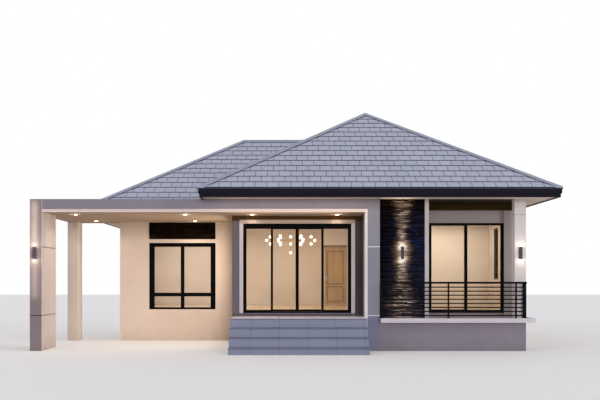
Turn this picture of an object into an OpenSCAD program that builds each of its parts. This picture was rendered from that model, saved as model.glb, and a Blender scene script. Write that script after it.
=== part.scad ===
// Single-storey bungalow on a raised floor, with a carport behind a portal frame.
// X runs along the front, Y runs from front to back, Z is up from the ground.
// Plan positions count from the left face and the front plane of the portal.

/* [Ground plan] */
// Width of the portal frame over its outer faces
portal_w = 9000; // [8960:10:9100]
// From the portal's left face to the wing's left wall
wing_x = 1581; // [1400:1:1800]
// Width of the wing up to the main block
wing_w = 3556; // [3480:1:3600]
// Width of the balcony bay from the pier to the right wall
bay_w = 2494; // [2460:1:2600]
// Depth of the main block over its walls
main_d = 8600; // [8300:10:9000]
// From the portal's front plane to the entry wall
porch_d = 1100; // [1050:10:1200]
// From the portal's front plane to the wing's front wall
wing_y = 4270; // [4100:10:4400]
// Thickness of the outer walls
wall_t = 150; // [120:5:180]
// Thickness of the inner walls
partition_t = 100; // [80:5:120]
// Clear depth of the bedroom
bedroom_d = 2650; // [2500:10:2900]

/* [Levels] */
// Top of the portal above the ground
portal_h = 3907; // [3860:1:3960]
// Height of the grey beam on the portal's face
beam_h = 250; // [220:5:300]
// Height of the pale lip under the beam
lip_h = 84; // [60:2:100]
// Setback of the pale lip and linings from the grey face
lip_inset = 30; // [20:5:50]
// Thickness of the flat slab over the carport
slab_t = 125; // [110:5:150]
// Height of the lowest riser
first_riser = 160; // [140:5:180]
// Height of each riser above it
riser_h = 230; // [220:1:235]
// Depth of a tread
tread_d = 310; // [280:5:340]
// Step from the landing up to the inside floor
threshold_h = 90; // [70:5:110]
// Thickness of the floor slab
floor_t = 150; // [120:5:200]
// From the top of the flat slab down to the rooms' ceiling
ceiling_drop = 98; // [60:1:140]
// Thickness of the ceiling
ceiling_t = 40; // [20:5:60]

/* [Portal and carport] */
// Width of the portal's left column
column_w = 310; // [280:5:340]
// Depth of the portal's left column
column_d = 1500; // [1300:10:1700]
// Depth of the carport's back column
rear_column_d = 610; // [500:10:700]
// Width of the grey face of the portal's right leg
leg_w = 315; // [290:5:340]
// Width of the pale lining on the leg's inner side
lining_w = 54; // [40:2:70]
// Thickness of the beam and of the parapet behind it
parapet_t = 200; // [150:10:220]
// Height of the lower shadow groove in the columns
groove_low = 912; // [880:2:950]
// Height of the upper shadow groove in the columns
groove_high = 2680; // [2600:10:2750]
// Height of a groove
groove_h = 20; // [10:1:30]
// Depth of a groove
groove_d = 10; // [5:1:15]

/* [Entry] */
// From the main block's left face to the entry door frame
entry_x = 300; // [290:5:320]
// From the entry door frame to the pale lining of the portal's leg
entry_margin = 291; // [280:1:310]
// From the entry door frame's edge to its sliding leaf
side_pane = 741; // [720:1:760]
// Height of the entry door frame
door_h = 2400; // [2350:5:2430]
// Width of the pale trim round the entry door
trim_w = 100; // [80:5:110]
// Thickness of that trim
trim_t = 20; // [10:1:30]
// From the main block's left face to the front steps
steps_gap = 37; // [20:1:60]
// Clear depth of the landing in front of the portal's plane
landing_out = 440; // [400:5:500]

/* [Balcony] */
// Width of the stone-clad pier with its pale edge
pier_w = 1263; // [1240:1:1280]
// Width of the pale edge on the pier
pier_edge_w = 103; // [90:1:120]
// Thickness of the stone cladding
stone_t = 40; // [30:1:50]
// Setback of the stone face from the portal's plane
stone_inset = 20; // [10:1:30]
// Width of the balcony door frame
balcony_door_w = 2029; // [2000:1:2040]
// Height of the balcony door frame
balcony_door_h = 2415; // [2380:5:2430]
// From the pier's right face to the balcony door frame
balcony_door_gap = 151; // [140:1:160]
// How far the balcony slab stands out in front of the portal's plane
balcony_out = 300; // [280:5:350]
// How far the balcony slab stands out past the right wall
balcony_side = 166; // [120:2:200]
// Thickness of the balcony slab
balcony_t = 112; // [100:2:140]
// Width of the balcony column
balcony_column_w = 289; // [270:1:300]
// Depth of the balcony column
balcony_column_d = 300; // [280:5:320]
// Height of the railing above the balcony
rail_h = 930; // [900:5:1000]
// Height of the top rail's section
top_rail_h = 52; // [40:2:60]
// Depth of the top rail's section
top_rail_d = 60; // [50:2:70]
// Side of a railing post
post_w = 40; // [30:2:50]
// Number of bars under the top rail
bar_count = 8; // [6:1:9]
// Height of a bar
bar_h = 30; // [20:1:40]
// Depth of a bar
bar_d = 20; // [15:1:30]
// Centre of the lowest bar above the balcony
first_bar = 71; // [65:1:100]
// Distance between the bars' centres
bar_step = 103; // [98:1:106]
// Setback of the railing from the slab's front edge
rail_inset = 70; // [50:5:90]

/* [Roof] */
// Slope of the roofs in degrees
pitch = 30; // [28:0.5:32]
// Height of the main roof's tile edge above the portal's top
eave_rise = 205; // [180:1:230]
// Height of the wing roof's tile edge above the flat slab
wing_roof_t = 102; // [98:1:130]
// Overhang of the main roof on the left
overhang_left = 748; // [700:1:800]
// Overhang of the main roof on the right
overhang_right = 702; // [650:1:750]
// Overhang of the main roof in front of the portal's plane
overhang_front = 870; // [800:5:950]
// Overhang of both roofs at the back
overhang_back = 630; // [580:5:680]
// Overhang of the wing roof on the left
wing_overhang = 630; // [580:5:680]
// From the portal's front plane to the wing roof's front edge
wing_eave_y = 1750; // [1650:10:1850]
// Vertical thickness of the main roof
roof_t = 120; // [100:5:150]
// Vertical thickness of the tile layer at the eaves
tile_t = 30; // [25:1:40]
// Drop of the fascia below the soffit
fascia_drop = 24; // [20:1:30]
// Height of the lower, set-back band of the fascia
fascia_low_h = 97; // [80:1:110]
// Overhang of the tiles past the fascia
drip = 15; // [10:1:25]
// Setback of the lower fascia band from the upper one
fascia_step = 25; // [15:1:30]
// Thickness of the upper fascia band
fascia_t = 65; // [55:1:75]
// Thickness of the soffit boards
soffit_t = 30; // [20:1:40]
// Width of the ridge and hip caps
cap_w = 240; // [200:5:280]
// Height of the caps above the tiles
cap_t = 35; // [25:1:45]

/* [Windows] */
// From the wing's left face to its front window
dining_x = 880; // [850:5:920]
// Width of the wing's front window
dining_w = 2000; // [1950:5:2050]
// Height of the wing's front window
dining_h = 2004; // [1950:2:2050]
// Width of the side bars of that window
dining_side = 150; // [130:5:170]
// Height of its foot bar
dining_foot = 60; // [50:5:80]
// Height of its head bar
dining_top = 117; // [100:1:130]
// Width of its middle bar
dining_mid = 100; // [80:5:120]
// Height of its low transom above the foot
transom_z = 390; // [350:10:450]
// Height of the transom's bar
transom_h = 110; // [90:5:120]
// From the stone panel over the window up to the carport's soffit
panel_side = 21; // [10:1:60]
// Thickness of the stone panel
panel_t = 30; // [20:1:40]
// Gap between the window and the stone panel
panel_gap = 111; // [100:1:120]
// Sill height of the side windows above the floor
sill_h = 900; // [850:10:950]
// From the heads of the side windows up to the ceiling
window_head = 290; // [250:10:350]
// Width of the narrow side window
narrow_w = 550; // [500:10:600]
// Width of the plain side and back windows
wide_w = 1200; // [1100:10:1300]
// Width of the small back window of the wing
small_w = 800; // [700:10:820]
// From the front of the main block to the narrow side window
narrow_y = 1470; // [1300:10:1600]
// From the bedroom's back wall to the wide side window
wide_y = 2200; // [1900:10:2500]
// From the wing's front to its side window
wing_window_y = 2030; // [1700:10:2400]
// From the main block's left face back to the wing's back window
wing_window_x = 960; // [900:10:1400]
// From the living room's partition to the back room's window
room_window_x = 1520; // [1300:10:1800]
// Bar width of the window frames
window_bar = 50; // [40:1:60]
// Depth of the door and window frames
frame_d = 120; // [110:1:120]
// Thickness of the glass
glass_t = 8; // [6:1:12]

/* [Back door] */
// Width of the back door leaf
back_leaf_w = 740; // [720:5:760]
// Height of the back door leaf
back_leaf_h = 2000; // [1950:5:2050]
// Thickness of the back door leaf
back_leaf_t = 40; // [35:1:45]
// Width of the back door's jambs and head
back_jamb = 50; // [40:1:60]
// Width of the stiles beside the door's panels
door_stile = 105; // [90:5:120]
// Height of the lower panel above the door's foot
low_panel_z = 140; // [120:5:160]
// Height of the lower panel
low_panel_h = 480; // [450:5:520]
// Height of the upper panel above the door's foot
high_panel_z = 760; // [740:5:780]
// Height of the upper panel
high_panel_h = 1120; // [1080:5:1140]
// Depth of the panels below the door's faces
panel_sink = 9; // [5:1:12]
// Height of the lever above the door's foot
handle_z = 945; // [900:5:1000]
// Depth of the back landing
back_landing_d = 1000; // [900:10:1100]

/* [Hidden] */
$fn = 32;

// How far a cut runs past a face
cut = 10;

// Levels
ceiling_line = portal_h - beam_h;
soffit_line = ceiling_line - lip_h;
slab_top = soffit_line + slab_t;
landing_z = first_riser + 3 * riser_h;
floor_z = landing_z + threshold_h;
ceiling_z = slab_top - ceiling_drop;
ceiling_h = ceiling_z - floor_z;
door_head = floor_z + door_h;
balcony_head = floor_z + balcony_door_h;
wall_top = portal_h + soffit_t;
eave_z = portal_h + eave_rise;
wing_eave_z = slab_top + wing_roof_t;
sill_z = floor_z + sill_h;
window_h = ceiling_z - window_head - sill_z;

// Plan lines
main_x = wing_x + wing_w;
main_y = porch_d;
back_y = main_y + main_d;
leg_x = portal_w - leg_w;
leg_inner = leg_x - lining_w;
pier_x1 = portal_w + pier_w;
main_x1 = pier_x1 + bay_w;
entry_x0 = main_x + entry_x;
entry_x1 = leg_inner - entry_margin;
entry_w = entry_x1 - entry_x0;
balcony_x0 = pier_x1 + balcony_door_gap;
balcony_x1 = balcony_x0 + balcony_door_w;
partition_x = leg_inner + wall_t;
partition_y = main_y + wall_t + bedroom_d;
steps_x = main_x + steps_gap;
column_x = main_x1 - balcony_column_w;
carport_back = wing_y + rear_column_d;
dining_x0 = wing_x + dining_x;
panel_z = floor_z + dining_h + panel_gap;

// Roof outlines as [left, right, front, back]
main_eaves = [main_x - overhang_left, main_x1 + overhang_right, -overhang_front, back_y + overhang_back];
wing_eaves = [wing_x - wing_overhang, main_x1, wing_eave_y, back_y + overhang_back];
fascia_in = drip + fascia_t;
fascia_low_in = drip + fascia_step;
roof_low = soffit_line - cut;
// A height over any roof
sky_z = eave_z + portal_w;
// A run longer than any roof, over which every slope is drawn
slope_run = 20000;

// Back door and landing
back_gap = 5;
back_side = 20;
back_open_x1 = partition_x - back_side;
back_open_w = back_leaf_w + 2 * back_gap + 2 * back_jamb;
back_open_x0 = back_open_x1 - back_open_w;
back_open_h = back_leaf_h + 2 * back_gap + back_jamb;
back_inner = back_y - wall_t;
hinge_x = back_open_x1 - back_jamb - back_gap / 2;
hinge_y = back_inner - 8;
// Size of the hinge plates beside the pin, and how far they sink into the wood
hinge_plate = 20;
hinge_side = 2;
hinge_sink = 6;
knuckle_r = 7;
knuckle_h = 45;
knuckle_gap = 0.3;
hinge_heights = [250, 1000, 1750];

// Lever handle of the back door
handle_in = 55;
plate_w = 40;
plate_h = 180;
plate_t = 8;
spindle_r = 9;
lever_r = 8;
lever_out = 43;
lever_len = 115;
back_landing_side = 150;
back_landing_w = back_open_w + 2 * back_landing_side;
back_landing_x = back_open_x0 - back_landing_side;

// Inner doorway between the living room and the back room
inner_door_side = 400;
inner_door_y = partition_y + partition_t + inner_door_side;
inner_door_w = 900;

// Overall box, whose bottom centre is the model's origin
front_y = -landing_out - 3 * tread_d;
rear_y = max(back_y + overhang_back, back_y + back_landing_d);
origin_x = max(main_eaves[1], main_x1 + balcony_side) / 2;
origin_y = (front_y + rear_y) / 2;

// Sliding doors
jamb = 45;
head = 60;
track = 30;
stile = 43;
lap = 59;
head_rail = 80;
foot_rail = 50;
slim_head = 30;
slim_rail = 30;
sash_t = 40;
leaf_gap = 6;
leaf_lift = 10;
rib_w = 6;
rib_h = 4;
roller_r = 12;
roller_w = 12;
roller_in = 90;
roller_gap = 0.3;
frame_y = main_y + wall_t - frame_d;
outer_sash_y = frame_y + 4;
inner_sash_y = outer_sash_y + 58;
// How far a fixed sash runs into the frame
sash_in = 1;

// Railing
rail_y = -balcony_out + rail_inset;
rail_x1 = main_x1 - 42;
side_rail_x = rail_x1 - top_rail_d / 2;
first_post_x = portal_w + 31;
last_post_x = column_x - 22;
rail_top = landing_z + rail_h;
column_groove = ceiling_line + 60;
bar_heights = [for (k = [0 : bar_count - 1]) landing_z + first_bar + k * bar_step];
foot_w = 90;
foot_t = 8;

// Side and back windows as [start, width, uprights between their sides]
right_windows = [[main_y + narrow_y, narrow_w, 0], [partition_y + wide_y, wide_w, 1]];
wing_side_window = [wing_y + wing_window_y, wide_w, 1];
back_wing_window = [main_x - wing_window_x, small_w, 0];
back_room_window = [partition_x + room_window_x, wide_w, 1];

// Small lights
light_w = 80;
light_h = 320;
light_d = 60;
light_z = 2520;
lens_r = 22;
lens_d = 19;
column_light_x = 118;
spot_r = 55;
spot_h = 6;
spot_front = 900;
spot_back = 570;
spot_left = 670;
spot_right = 1237;
porch_spot_left = 545;
porch_spot_right = 685;
left_spot_x = column_w + spot_left;
right_spot_x = main_x - spot_right;
porch_spots = [main_x + porch_spot_left, leg_inner - porch_spot_right];
spots = [for (x = [left_spot_x, right_spot_x], y = [spot_front, wing_y - spot_back]) [x, y],
    for (x = porch_spots) [x, spot_front]];

// Globe lamp in the living room
lamp_side = 1592;
lamp_back = 3300;
lamp_hang = 576;
lamp_x = main_x + lamp_side;
lamp_y = main_y + lamp_back;
lamp_z = ceiling_z - lamp_hang;
globe_r = 42;
lamp_arm = 620;
lamp_ring = 107;
lamp_rod_r = 8;
lamp_drop = 376;
canopy_r = 60;
canopy_h = 25;
hub_r = 30;

// A flat shape stood up along X, its front face at y
module upright(x, y, z, d) translate([x, y + d, z]) rotate([90, 0, 0]) linear_extrude(d) children();

// A flat shape stood up along Y, its left face at x
module sideways(x, y, z, d) translate([x, y, z]) rotate([90, 0, 90]) linear_extrude(d) children();

// A box from one corner to the other
module span(a, b) translate(a) cube(b - a);

// A rectangle with a rectangular hole, its bars given as [left, right, bottom, top]
module ring(w, h, bars) difference() {
    square([w, h]);
    translate([bars[0], bars[2]]) square([w - bars[0] - bars[1], h - bars[2] - bars[3]]);
}

// A window frame with evenly spaced uprights between its sides
module frame_shape(w, h, bar, uprights) {
    ring(w, h, [bar, bar, bar, bar]);
    for (k = [1 : 1 : uprights])
        translate([k * w / (uprights + 1) - bar / 2, bar]) square([bar, h - 2 * bar]);
}

// The panes of such a frame
module pane_shape(w, h, bar, uprights) difference() {
    translate([bar, bar]) square([w - 2 * bar, h - 2 * bar]);
    for (k = [1 : 1 : uprights]) translate([k * w / (uprights + 1) - bar / 2, 0]) square([bar, h]);
}

// A hipped block over an outline, with its eaves at one height and its flat bottom at another
module hip_block(e, eave, base) {
    slope = [[0, base], [slope_run, base], [slope_run, eave + slope_run * tan(pitch)], [0, eave]];
    intersection() {
        upright(e[0], e[2], 0, e[3] - e[2]) polygon(slope);
        translate([e[1], 0, 0]) mirror([1, 0, 0]) upright(0, e[2], 0, e[3] - e[2]) polygon(slope);
        sideways(e[0], e[2], 0, e[1] - e[0]) polygon(slope);
        translate([0, e[3], 0]) mirror([0, 1, 0]) sideways(e[0], 0, 0, e[1] - e[0]) polygon(slope);
    }
}

// The box inside an outline drawn in by a distance
module inset_box(e, d, low, high) span([e[0] + d, e[2] + d, low], [e[1] - d, e[3] - d, high]);

// A hipped roof shell: full thickness inside, only the tile layer over the fascia
module roof_shell(e, eave, t) difference() {
    hip_block(e, eave, eave - t);
    hip_block(e, eave - t, eave - t - cut);
    difference() {
        hip_block(e, eave - tile_t, eave - t - cut);
        inset_box(e, fascia_in, eave - t - 2 * cut, sky_z);
    }
}

// The space that the main roof takes up, down to its fascia
module main_roof_space() hip_block(main_eaves, eave_z, portal_h - fascia_drop);

// The space that the wing roof takes up left of the main block
module wing_roof_space() intersection() {
    hip_block(wing_eaves, wing_eave_z, roof_low);
    span([0, 0, 0], [main_x, rear_y + cut, sky_z]);
}

module floor() color("burlywood") translate([0, 0, floor_z - floor_t]) linear_extrude(floor_t)
    polygon([[main_x + wall_t, main_y + wall_t], [main_x1 - wall_t, main_y + wall_t],
        [main_x1 - wall_t, back_inner], [wing_x + wall_t, back_inner],
        [wing_x + wall_t, wing_y + wall_t], [main_x + wall_t, wing_y + wall_t]]);

module entry_landing() color("slategray") span([steps_x, -landing_out, 0], [leg_inner, main_y, landing_z]);

// A front step counted from the bottom
module front_step(k) color("slategray")
    span([steps_x, front_y + k * tread_d, 0],
        [leg_inner, front_y + (k + 1) * tread_d, first_riser + k * riser_h]);

module lower_step() front_step(0);

module middle_step() front_step(1);

module upper_step() front_step(2);

module back_steps() color("silver") upright(0, back_y, 0, back_landing_d)
    polygon([[back_landing_x + back_landing_w, 0], [back_landing_x + back_landing_w, landing_z],
        for (k = [3 : -1 : 1], t = [0, 1])
            [back_landing_x - (3 - k) * tread_d, landing_z - (3 - k + t) * riser_h],
        [back_landing_x - 3 * tread_d, first_riser], [back_landing_x - 3 * tread_d, 0]]);

module front_wall_left() color("gray") span([main_x, main_y, 0], [entry_x0, main_y + wall_t, wall_top]);

module front_wall_middle() color("gray")
    span([entry_x1, main_y, 0], [balcony_x0, main_y + wall_t, wall_top]);

module front_wall_right() color("gray") span([balcony_x1, main_y, 0], [main_x1, main_y + wall_t, wall_top]);

module door_lintels() color("gray") {
    span([entry_x0, main_y, door_head], [entry_x1, main_y + wall_t, wall_top]);
    span([balcony_x0, main_y, balcony_head], [balcony_x1, main_y + wall_t, wall_top]);
    span([back_open_x0, back_inner, floor_z + back_open_h], [back_open_x1, back_y, wall_top]);
}

module door_sill_walls() color("gray") {
    span([entry_x0, main_y, 0], [entry_x1, main_y + wall_t, floor_z]);
    span([balcony_x0, main_y, 0], [balcony_x1, main_y + wall_t, floor_z]);
    span([back_open_x0, back_inner, 0], [back_open_x1, back_y, floor_z]);
}

module right_wall() color("antiquewhite")
    sideways(main_x1 - wall_t, main_y + wall_t, 0, wall_t) difference() {
        square([main_d - 2 * wall_t, wall_top]);
        for (w = right_windows) translate([w[0] - main_y - wall_t, sill_z]) square([w[1], window_h]);
    }

module back_wall_left() color("antiquewhite") difference() {
    upright(wing_x, back_inner, 0, wall_t) difference() {
        square([back_open_x0 - wing_x, wall_top]);
        translate([back_wing_window[0] - wing_x, sill_z]) square([back_wing_window[1], window_h]);
    }
    span([0, back_inner - cut, slab_top], [main_x, back_y + cut, wall_top + cut]);
}

module back_wall_right() color("antiquewhite") upright(back_open_x1, back_inner, 0, wall_t) difference() {
    square([main_x1 - back_open_x1, wall_top]);
    translate([back_room_window[0] - back_open_x1, sill_z]) square([back_room_window[1], window_h]);
}

module wing_side_wall() color("antiquewhite") sideways(wing_x, wing_y + wall_t, 0, wall_t) difference() {
    square([back_inner - wing_y - wall_t, slab_top]);
    translate([wing_side_window[0] - wing_y - wall_t, sill_z]) square([wing_side_window[1], window_h]);
}

module wing_front_wall() color("antiquewhite") upright(wing_x, wing_y, 0, wall_t) difference() {
    square([wing_w, slab_top]);
    translate([dining_x, floor_z]) square([dining_w, dining_h]);
}

module carport_wall() color("antiquewhite")
    span([main_x, main_y + wall_t, 0], [main_x + wall_t, wing_y + wall_t, wall_top]);

module room_partition() color("linen")
    sideways(partition_x, main_y + wall_t, floor_z, partition_t) difference() {
        square([main_d - 2 * wall_t, ceiling_h]);
        translate([inner_door_y - main_y - wall_t, -cut]) square([inner_door_w, back_open_h + cut]);
    }

module bedroom_partition() color("linen")
    span([partition_x + partition_t, partition_y, floor_z],
        [main_x1 - wall_t, partition_y + partition_t, ceiling_z]);

module ceiling() color("white") translate([0, 0, ceiling_z]) linear_extrude(ceiling_t)
    polygon([[main_x + wall_t, main_y + wall_t], [main_x1 - wall_t, main_y + wall_t],
        [main_x1 - wall_t, back_inner], [wing_x + wall_t, back_inner],
        [wing_x + wall_t, wing_y + wall_t], [main_x + wall_t, wing_y + wall_t]]);

module main_roof() color("lightsteelblue") roof_shell(main_eaves, eave_z, roof_t);

module wing_roof() color("lightsteelblue") difference() {
    roof_shell(wing_eaves, wing_eave_z, wing_roof_t);
    main_roof_space();
    span([main_x, 0, 0], [main_x1 + cut, rear_y + cut, eave_z]);
}

// A cap strip over a hip that starts at a corner and runs at an angle
module hip_strip(x, y, angle, run) translate([x, y, 0]) rotate([0, 0, angle])
    translate([-cap_w, -cap_w / 2, 0]) cube([run * sqrt(2) + cap_w, cap_w, sky_z]);

// A layer of the caps' thickness over the slopes of an outline
module cap_skin(e, eave) difference() {
    hip_block(e, eave + cap_t, eave);
    hip_block(e, eave, eave - cut);
}

module roof_caps() color("lightslategray") {
    half = (main_eaves[1] - main_eaves[0]) / 2;
    intersection() {
        cap_skin(main_eaves, eave_z);
        union() {
            hip_strip(main_eaves[0], main_eaves[2], 45, half);
            hip_strip(main_eaves[1], main_eaves[2], 135, half);
            hip_strip(main_eaves[0], main_eaves[3], -45, half);
            hip_strip(main_eaves[1], main_eaves[3], -135, half);
            span([main_eaves[0] + half - cap_w / 2, main_eaves[2] + half, 0],
                [main_eaves[0] + half + cap_w / 2, main_eaves[3] - half, sky_z]);
        }
    }
    wing_half = (wing_eaves[3] - wing_eaves[2]) / 2;
    difference() {
        intersection() {
            cap_skin(wing_eaves, wing_eave_z);
            union() {
                hip_strip(wing_eaves[0], wing_eaves[2], 45, wing_half);
                hip_strip(wing_eaves[0], wing_eaves[3], -45, wing_half);
                span([wing_eaves[0] + wing_half, wing_eaves[2] + wing_half - cap_w / 2, 0],
                    [main_eaves[0] + half, wing_eaves[2] + wing_half + cap_w / 2, sky_z]);
            }
        }
        main_roof_space();
    }
}

// Fascia boards round an outline: a band under the tile edge and a set-back band below it
module fascia_ring(e, eave, low) difference() {
    intersection() {
        hip_block(e, eave - tile_t, low);
        union() {
            inset_box(e, drip, low + fascia_low_h, sky_z);
            inset_box(e, fascia_low_in, low, low + fascia_low_h);
        }
    }
    inset_box(e, fascia_in, low - cut, sky_z);
}

module fascias() color([0.15, 0.13, 0.17]) {
    difference() {
        fascia_ring(main_eaves, eave_z, portal_h - fascia_drop);
        wing_roof_space();
        span([0, 0, 0], [portal_w, parapet_t, portal_h]);
    }
    difference() {
        intersection() {
            fascia_ring(wing_eaves, wing_eave_z, soffit_line - fascia_drop / 2);
            span([0, carport_back, 0], [main_x, rear_y + cut, eave_z]);
        }
        main_roof_space();
    }
}

module soffits() color("wheat") {
    difference() {
        inset_box(main_eaves, fascia_in, portal_h, wall_top);
        span([main_x, main_y, 0], [main_x1, back_y, wall_top + cut]);
        wing_roof_space();
    }
    translate([0, 0, soffit_line]) linear_extrude(soffit_t)
        polygon([[wing_eaves[0] + fascia_in, carport_back], [wing_x, carport_back], [wing_x, back_y],
            [main_x, back_y], [main_x, wing_eaves[3] - fascia_in],
            [wing_eaves[0] + fascia_in, wing_eaves[3] - fascia_in]]);
}

module portal_beam() color("gray") translate([0, 0, ceiling_line]) linear_extrude(beam_h) {
    polygon([[column_w, 0], [portal_w, 0], [portal_w, main_y], [leg_x, main_y],
        [leg_x, parapet_t], [column_w, parapet_t]]);
    polygon([[0, column_d], [parapet_t, column_d], [parapet_t, carport_back - parapet_t],
        [wing_eaves[0], carport_back - parapet_t], [wing_eaves[0], carport_back], [0, carport_back]]);
}

// Shadow grooves cut into the front and one side of a column, given as [x0, y0, x1, y1]
module grooves(box) for (z = [groove_low, groove_high])
    span([box[0], box[1], z - groove_h / 2], [box[2], box[3], z + groove_h / 2]);

module left_column() color("antiquewhite") difference() {
    span([0, 0, 0], [column_w, column_d, portal_h]);
    grooves([-cut, -cut, column_w + cut, groove_d]);
    grooves([column_w - groove_d, -cut, column_w + cut, column_d + cut]);
}

module right_leg() color("gray") difference() {
    linear_extrude(ceiling_line) polygon([[leg_x, 0], [portal_w, 0], [portal_w, main_y], [leg_inner, main_y],
        [leg_inner, lip_inset], [leg_x, lip_inset]]);
    grooves([leg_x - cut, -cut, portal_w + cut, groove_d]);
}

module carport_slab() color("antiquewhite") {
    translate([0, 0, soffit_line]) linear_extrude(lip_h) polygon([
        [column_w, lip_inset], [leg_inner, lip_inset], [leg_inner, main_y], [main_x, main_y],
        [main_x, wing_y], [wing_x, wing_y], [wing_x, carport_back],
        [0, carport_back], [0, column_d], [column_w, column_d]]);
    translate([0, 0, ceiling_line]) linear_extrude(slab_top - ceiling_line) polygon([
        [column_w, parapet_t], [leg_x, parapet_t], [leg_x, main_y], [main_x, main_y], [main_x, wing_y],
        [wing_x, wing_y], [wing_x, carport_back], [wing_eaves[0], carport_back],
        [wing_eaves[0], carport_back - parapet_t], [parapet_t, carport_back - parapet_t],
        [parapet_t, column_d], [column_w, column_d]]);
}

module rear_column() color("antiquewhite") span([0, wing_y, 0], [column_w, carport_back, soffit_line]);

module pier() color("antiquewhite") translate([0, 0, landing_z]) linear_extrude(portal_h - landing_z)
    difference() {
        polygon([[portal_w, stone_inset + stone_t], [pier_x1 - pier_edge_w, stone_inset + stone_t],
            [pier_x1 - pier_edge_w, stone_inset], [pier_x1, stone_inset],
            [pier_x1, main_y], [portal_w, main_y]]);
        translate([portal_w + wall_t, stone_inset + stone_t + wall_t])
            square([pier_w - 2 * wall_t, main_y - stone_inset - stone_t - wall_t]);
    }

module stone_cladding() color([0.13, 0.13, 0.2]) {
    span([portal_w, stone_inset, landing_z], [pier_x1 - pier_edge_w, stone_inset + stone_t, portal_h]);
    span([dining_x0, wing_y - panel_t, panel_z], [dining_x0 + dining_w, wing_y, soffit_line - panel_side]);
}

module balcony_slab() color("gainsboro")
    span([portal_w, -balcony_out, landing_z - balcony_t], [main_x1 + balcony_side, main_y, landing_z]);

module balcony_plinth() color("gray") linear_extrude(landing_z - balcony_t) difference() {
    translate([portal_w, 0]) square([main_x1 - portal_w, main_y]);
    translate([portal_w + wall_t, wall_t]) square([main_x1 - portal_w - 2 * wall_t, main_y]);
}

module balcony_column() color("antiquewhite") difference() {
    span([column_x, 0, landing_z], [main_x1, balcony_column_d, portal_h]);
    span([column_x - cut, -cut, column_groove], [main_x1 + cut, groove_d, column_groove + groove_h]);
}

// A railing post on its foot plate
module railing_post(x, y) {
    translate([x - post_w / 2, y - post_w / 2, landing_z]) cube([post_w, post_w, rail_h - top_rail_h / 2]);
    translate([x - foot_w / 2, y - foot_w / 2, landing_z]) cube([foot_w, foot_w, foot_t]);
}

module front_railing() color([0.08, 0.08, 0.09]) {
    for (x = [first_post_x, (portal_w + last_post_x) / 2, last_post_x, side_rail_x])
        railing_post(x, rail_y);
    railing_post(side_rail_x, -foot_w / 2);
    span([portal_w, rail_y - top_rail_d / 2, rail_top - top_rail_h],
        [rail_x1, rail_y + top_rail_d / 2, rail_top]);
    span([side_rail_x - top_rail_d / 2, rail_y, rail_top - top_rail_h], [rail_x1, 0, rail_top]);
    for (z = bar_heights) {
        span([first_post_x, rail_y - bar_d / 2, z - bar_h / 2],
            [side_rail_x, rail_y + bar_d / 2, z + bar_h / 2]);
        span([side_rail_x - bar_d / 2, rail_y, z - bar_h / 2], [side_rail_x + bar_d / 2, 0, z + bar_h / 2]);
    }
}

module side_railing() color([0.08, 0.08, 0.09]) {
    mid_y = (balcony_column_d + main_y) / 2;
    railing_post(side_rail_x, mid_y);
    span([side_rail_x - top_rail_d / 2, balcony_column_d, rail_top - top_rail_h],
        [side_rail_x + top_rail_d / 2, main_y, rail_top]);
    for (z = bar_heights)
        span([side_rail_x - bar_d / 2, balcony_column_d, z - bar_h / 2],
            [side_rail_x + bar_d / 2, main_y, z + bar_h / 2]);
}

module entry_trim() color("antiquewhite")
    upright(entry_x0 - trim_w, main_y - trim_t, landing_z, trim_t) difference() {
        square([entry_w + 2 * trim_w, door_head + trim_w - landing_z]);
        translate([trim_w, -cut]) square([entry_w, door_head - landing_z + cut]);
    }

// A sash between two uprights of given widths, its rails at the head and the foot
module sash(x0, x1, z0, z1, y, left, right, rail = head_rail) upright(x0, y, z0, sash_t)
    ring(x1 - x0, z1 - z0, [left, right, foot_rail, rail]);

// The glass that fills such a sash
module sash_glass(x0, x1, z0, z1, y, left, right, rail = head_rail)
    upright(x0 + left, y + (sash_t - glass_t) / 2, z0 + foot_rail, glass_t)
        square([x1 - x0 - left - right, z1 - z0 - foot_rail - rail]);

// An outer frame with a running rib on its track
module door_frame(x0, x1, z1, top = head) {
    upright(x0, frame_y, floor_z, frame_d) ring(x1 - x0, z1 - floor_z, [jamb, jamb, track, top]);
    span([x0 + jamb, inner_sash_y + (sash_t - rib_w) / 2, floor_z + track],
        [x1 - jamb, inner_sash_y + (sash_t + rib_w) / 2, floor_z + track + rib_h]);
}

// A sliding leaf: its sash hangs clear of the frame and stands on two rollers over the rib
module sliding_leaf(x0, x1, z1, left, right, top = head, rail = head_rail) {
    sash(x0, x1, floor_z + track + leaf_lift, z1 - top - leaf_gap, inner_sash_y, left, right, rail);
    roller_z = floor_z + track + rib_h + roller_gap + roller_r;
    for (x = [x0 + roller_in, x1 - roller_in])
        translate([x, inner_sash_y + (sash_t + roller_w) / 2, roller_z])
            rotate([90, 0, 0]) cylinder(r = roller_r, h = roller_w);
}

module sliding_glass(x0, x1, z1, left, right, top = head, rail = head_rail)
    sash_glass(x0, x1, floor_z + track + leaf_lift, z1 - top - leaf_gap, inner_sash_y, left, right, rail);

// Uprights of the entry doors
entry_mid = (entry_x0 + entry_x1) / 2;
left_lap_x = entry_x0 + side_pane;
right_lap_x = entry_x1 - side_pane;
fixed_x0 = entry_x0 + jamb - sash_in;
fixed_x1 = entry_x1 - jamb + sash_in;

module entry_door_frame() color([0.05, 0.05, 0.05]) {
    door_frame(entry_x0, entry_x1, door_head);
    sash(fixed_x0, left_lap_x + lap, floor_z + track, door_head - head, outer_sash_y, stile, lap);
    sash(right_lap_x - lap, fixed_x1, floor_z + track, door_head - head, outer_sash_y, lap, stile);
}

module left_leaf() color([0.05, 0.05, 0.05])
    sliding_leaf(left_lap_x, entry_mid - leaf_gap / 2, door_head, lap, stile - leaf_gap / 2);

module left_leaf_glass() color("lightcyan", 0.4)
    sliding_glass(left_lap_x, entry_mid - leaf_gap / 2, door_head, lap, stile - leaf_gap / 2);

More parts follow.
